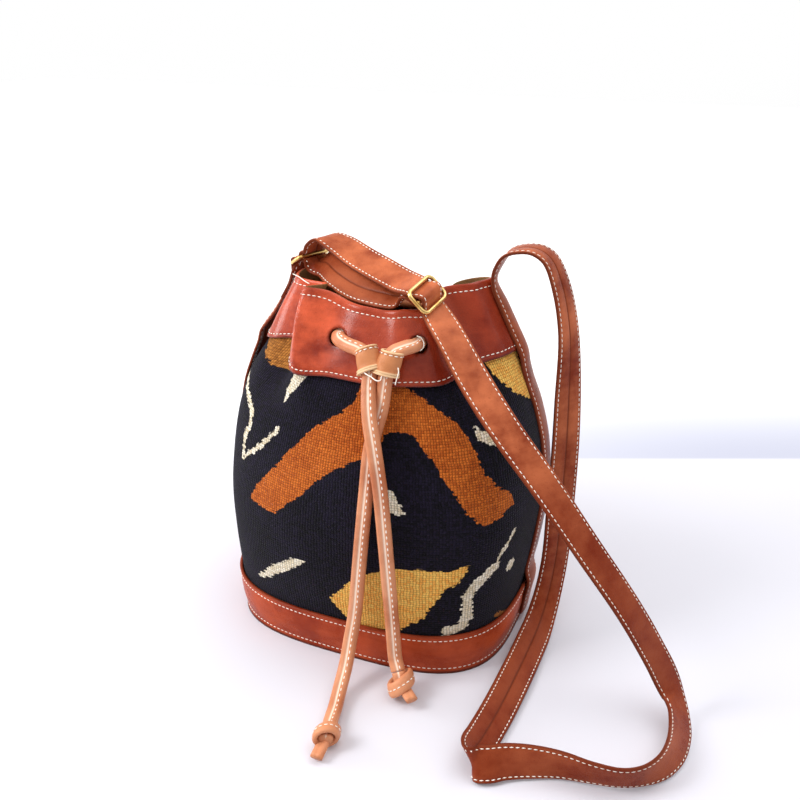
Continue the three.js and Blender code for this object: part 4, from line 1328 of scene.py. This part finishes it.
# The strap's free run from the right of the rim: place, and direction across it
STRAP_RUN = [
    (59.5, 5.5, 219, 0.05, -1, 0), (63.5, 5.5, 225.5, 0, -1, 0), (70, 6, 228.5, 0, -1, 0),
    (78, 7, 228.5, -0.1, -1, 0), (85, 8.5, 224, -0.15, -1, 0), (91.5, 10, 210, -0.25, -0.97, 0),
    (97, 11.5, 185, -0.35, -0.94, 0), (99.5, 11.5, 146, -0.6, -0.8, 0), (100.5, 11, 115, -0.68, -0.73, 0),
    (100.5, 10.5, 83, -0.72, -0.69, 0), (100, 10, 45, -0.72, -0.69, 0.1), (98.5, 4, 22, -0.75, -0.6, 0.25),
    (97.5, -10, 9, -0.8, -0.45, 0.35), (97, -32, 6, -0.87, -0.3, 0.38), (96.5, -60, 6, -0.88, -0.2, 0.42),
    (95.5, -88, 6.5, -0.86, -0.1, 0.5), (94, -110, 8, -0.78, 0, 0.62), (93, -121, 9.4, -0.62, 0.15, 0.75),
    (96, -127.5, 9.8, -0.5, 0.3, 0.8), (102.5, -126, 10, -0.38, 0.33, 0.86),
    (109.5, -121.5, 10, -0.2, 0.32, 0.93), (120, -117, 10, -0.1, 0.2, 0.97), (135, -113, 10, 0, -0.05, 1),
    (150, -112, 10, 0, -0.25, 0.97), (163, -110, 10, 0, -0.33, 0.94), (172, -105, 10, -0.08, -0.36, 0.93),
    (180, -95.5, 10, -0.28, -0.36, 0.89), (184.5, -83, 9.6, -0.45, -0.35, 0.82),
    (185.5, -68.5, 9, -0.58, -0.35, 0.74), (183.5, -55.5, 10, -0.62, -0.45, 0.64),
    (178.5, -48, 16.5, -0.6, -0.63, 0.48), (167.5, -49, 37.5, -0.47, -0.86, 0.15),
    (151.5, -55, 67, -0.36, -0.92, -0.1), (128.5, -59.5, 100.5, -0.32, -0.9, -0.25),
    (107.5, -59, 127.5, -0.34, -0.89, -0.3), (85.5, -55.5, 151.5, -0.4, -0.86, -0.32),
    (65.5, -48, 172.5, -0.45, -0.83, -0.33), (47.5, -38, 192, -0.32, -0.9, -0.28),
]
# From the slide over the mouth to the ring, and back under that to the slide
OVER_MOUTH = [
    (14, -21, 212.5, -0.22, -0.9, -0.33), (-3, -12, 215, -0.25, -0.87, -0.4),
    (-19, -3.5, 217.8, -0.25, -0.87, -0.4), (-33, 3.5, 221.6, -0.28, -0.91, -0.28),
    (-44, 6.5, 223.6, -0.36, -0.93, -0.04), (-49.6, 6.6, 220, -0.36, -0.93, 0),
]
UNDER_RETURN = [
    (-47.5, 5.5, 209.3, -0.25, -0.8, -0.55), (-41, 2, 210, -0.05, -0.74, -0.67),
    (-30.5, -6.8, 208, 0, -0.78, -0.62), (-11.5, -18, 205.2, 0.15, -0.76, -0.63),
    (4.6, -21.6, 204.2, 0.1, -0.8, -0.58), (15, -23.5, 204.4, -0.1, -0.85, -0.4),
]
# Rows of the strap through the slide, and how far past the middle bar its end lies
SLIDE_ROWS = 9
RETURN_END = 0.5


def from_table(table):
    return [(np.array(row[:3], float), unit(np.array(row[3:], float))) for row in table]


def strap_rows():
    rows = []
    for z in [*SEWN_HEIGHTS, RIM - 1]:
        out = LIE_ON_CLOTH + (LIE_ON_LEATHER - LIE_ON_CLOTH) * float(on_leather(z))
        rows.append(sewn_row(RIGHT_STRIP_ANGLE, z, out))
    past = WIRE / 2 + BEND_ROOM + STRAP_THICKNESS / 2
    side = SLIDE_SPAN / 2 - WIRE / 2

    def at_slide(along, up):
        return SLIDE_AT + SLIDE_SHORT * along + SLIDE_UP * up, SLIDE_LONG

    rows += from_table(STRAP_RUN)
    for share in np.linspace(-1, 1, SLIDE_ROWS):
        rows.append(at_slide(share * side, past * math.cos(math.pi * share)))
    rows += from_table(OVER_MOUTH)
    rows += round_bar(-1, past - GAP, -RING_LONG, RIGHT_RING_TURN)
    rows += from_table(UNDER_RETURN)
    rows += [at_slide(side, -past - STRAP_THICKNESS - 3 * GAP), at_slide(RETURN_END, -past - GAP)]
    return rows


# Where it is sewn on, a strap bends round the bag: how far its sides go down at some of its rows
CUP_ROWS = [0, 2, 4, 8, 10, 12, 13, 14, 17]
CUP_DEPTHS = [0.8, 0.8, 1.0, 1.2, 2.0, 2.8, 2.6, 1.6, 0]
# Painted light and shade along the strap, at some of its rows: lighter over the mouth, darker where it lies
# and where it starts to climb
STRAP_PAINTED_LIGHT_ROWS = [0, 14, 20, 24, 28, 32, 37, 42, 46, 48, 50, 52, 62, 70, 78, 84]
STRAP_PAINTED_LIGHT = [0.6, 0.5, 0.3, 0.5, 0.95, 1.0, 0.7, 0.7, 1.0, 0.85, 0.25, 0.1, 0.3, 0.35, 0.6, 0.6]


def strap(name, rows, thickness):
    """A strap along its rows, and the four stitch rows near its edges, two on each face."""
    section, worn = strap_section(thickness)
    centres, across, up = strap_frames(rows)
    place = np.arange(len(centres)) / STRAP_STEPS
    cup = np.interp(place, CUP_ROWS, CUP_DEPTHS)
    # Painted light and shade along the strap, kept in its depth attribute
    painted_light_tone = np.interp(place, STRAP_PAINTED_LIGHT_ROWS, STRAP_PAINTED_LIGHT)
    bm = swept(section, centres, across, up, worn, cup=cup, depth=painted_light_tone)
    new_piece(name + "_leather", bm, STRAP_HIDE, [name])
    reach = STRIP_WIDTH / 2 - STITCH_IN
    bend = (cup * (reach / section[:, 0].max()) ** 2)[:, None]
    seams = []
    for side in (-1, 1):
        for face in (-1, 1):
            off = face * STITCH_OUT * thickness / STRAP_THICKNESS
            line = centres + across * side * reach + up * (off - bend)
            seams.append(stitch_places(line[STITCH_ENDS:-STITCH_ENDS], up[STITCH_ENDS:-STITCH_ENDS] * face))
    stitching(name + "_stitching", seams)


strap("shoulder_strap", strap_rows(), STRAP_THICKNESS)
strap("side_strip_left", left_strip_rows(), LEATHER)


# Brass: the ring at the left of the rim and the slide at the front right

RING_CORNER = 2.6
SLIDE_CORNER = 3.2
CORNER_STEPS = 9
WIRE_SIDES = 12
# The slide's middle bar: its size to the wire's, and its steps
BAR_SCALE = 0.95
BAR_STEPS = 7


def bent_wire(at, long, short, length, span, corner):
    """Wire bent to a rectangle with round corners."""
    points, outs = [], []
    for number, (sx, sy) in enumerate([(1, 1), (-1, 1), (-1, -1), (1, -1)]):
        for angle in np.radians(90 * number + np.linspace(0, 90, CORNER_STEPS)):
            out = long * math.cos(angle) + short * math.sin(angle)
            points.append(at + long * sx * (length / 2 - WIRE / 2 - corner)
                          + short * sy * (span / 2 - WIRE / 2 - corner) + out * corner)
            outs.append(out)
    points.append(points[0])
    outs.append(outs[0])
    flats = steady(np.cross(long, short), len(points))
    return swept(round_section(WIRE, WIRE_SIDES), np.array(points), np.array(outs), flats, ends=False)


ring_bm = bent_wire(RING_AT, RING_LONG, RING_SHORT, RING_LENGTH, RING_SPAN, RING_CORNER)
new_piece("brass_ring", ring_bm, BRASS, ["strap_ring"])
slide_bm = bent_wire(SLIDE_AT, SLIDE_LONG, SLIDE_SHORT, SLIDE_LENGTH, SLIDE_SPAN, SLIDE_CORNER)
bar = SLIDE_AT + SLIDE_LONG * np.linspace(-0.5, 0.5, BAR_STEPS)[:, None] * (SLIDE_LENGTH - WIRE)
join_in(slide_bm, swept(round_section(WIRE * BAR_SCALE, WIRE_SIDES), bar, steady(SLIDE_SHORT, BAR_STEPS),
                        steady(SLIDE_UP, BAR_STEPS)))
new_piece("brass_slide", slide_bm, BRASS, ["strap_slide"])


# Floor and light

# Directions on the table away from the camera and to its right, then sizes in metres
AWAY = (-0.384, 0.923, 0.0)
ACROSS = (0.923, 0.384, 0.0)
TABLE_BACK = 0.18
SHADE_DEPTH = 0.2
FLOOR_REACH = 3.0
# The sky is brightest over the far side of the table
LIT_FROM = (-0.23, 0.55, 1.0)


def pale_floor():
    """A white table that ends behind the bag, and the bluish white of what is beyond it, with painted shade
    just past the table's edge and a painted glow further back.
    """
    material, tree, surface = new_material("pale_floor")
    place = put(tree, "ShaderNodeTexCoord").outputs["Object"]
    far = put(tree, "ShaderNodeVectorMath", {0: place, 1: AWAY}, operation="DOT_PRODUCT").outputs["Value"]
    side = put(tree, "ShaderNodeVectorMath", {0: place, 1: ACROSS}, operation="DOT_PRODUCT").outputs["Value"]
    beyond = between(tree, far, TABLE_BACK - 0.002, TABLE_BACK + 0.003)
    cloud = noise(tree, place, 6.0, 2.0)
    table = mixed(tree, cloud, srgb(219, 218, 226), srgb(215, 214, 222))
    # Painted shade on what lies beyond the table: darker just past its edge and towards the right, fading
    # further back.
    painted_wall_shade = maths(tree, "MULTIPLY", between(tree, far, TABLE_BACK, TABLE_BACK + SHADE_DEPTH, 1.0, 0.0),
                  between(tree, side, -0.3, 0.3, 0.25, 1.0))
    wall = mixed(tree, painted_wall_shade, srgb(250, 250, 251), srgb(190, 192, 208))
    tree.links.new(mixed(tree, beyond, table, wall), surface.inputs["Base Color"])
    # Painted light: the floor far behind the table glows white.
    painted_glow = between(tree, far, TABLE_BACK + SHADE_DEPTH, TABLE_BACK + 3 * SHADE_DEPTH)
    tree.links.new(mixed(tree, painted_glow, srgb(0, 0, 0), srgb(255, 255, 255)), surface.inputs["Emission Color"])
    surface.inputs["Emission Strength"].default_value = 0.15
    tree.links.new(between(tree, cloud, 0.3, 0.7, 0.55, 0.65), surface.inputs["Roughness"])
    surface.inputs["Specular IOR Level"].default_value = 0.2
    return material


floor_bm = bmesh.new()
bmesh.ops.create_grid(floor_bm, x_segments=8, y_segments=8, size=FLOOR_REACH)
floor_mesh = bpy.data.meshes.new("floor")
floor_bm.to_mesh(floor_mesh)
floor_bm.free()
floor_mesh.materials.append(pale_floor())
floor = bpy.data.objects.new("floor", floor_mesh)
bpy.context.scene.collection.objects.link(floor)

world = bpy.data.worlds.new("studio")
bpy.context.scene.world = world
world.use_nodes = True
sky = world.node_tree
direction = put(sky, "ShaderNodeTexCoord").outputs["Generated"]
facing_light = put(sky, "ShaderNodeVectorMath", {0: direction, 1: LIT_FROM}, operation="DOT_PRODUCT")
brightness = between(sky, facing_light.outputs["Value"], -0.3, 0.5, 0.35, 1.0)
sky.nodes["Background"].inputs["Color"].default_value = (1.0, 1.0, 1.0, 1.0)
sky.links.new(brightness, sky.nodes["Background"].inputs["Strength"])


def soft_light(name, at, target, size, power):
    data = bpy.data.lights.new(name, "AREA")
    data.shape = "RECTANGLE"
    data.size, data.size_y = size
    data.energy = power
    lamp = bpy.data.objects.new(name, data)
    lamp.location = at
    lamp.rotation_euler = (Vector(target) - Vector(at)).to_track_quat("-Z", "Y").to_euler()
    bpy.context.scene.collection.objects.link(lamp)


soft_light("window", (-0.7, -0.6, 0.9), (0.0, 0.0, 0.1), (0.4, 0.55), 9.0)
soft_light("ceiling", (0.3, 0.2, 1.2), (0.0, 0.0, 0.1), (1.0, 1.0), 6.0)
soft_light("left_window", (-0.8, -0.15, 0.32), (-0.02, -0.04, 0.17), (0.25, 0.25), 1.8)
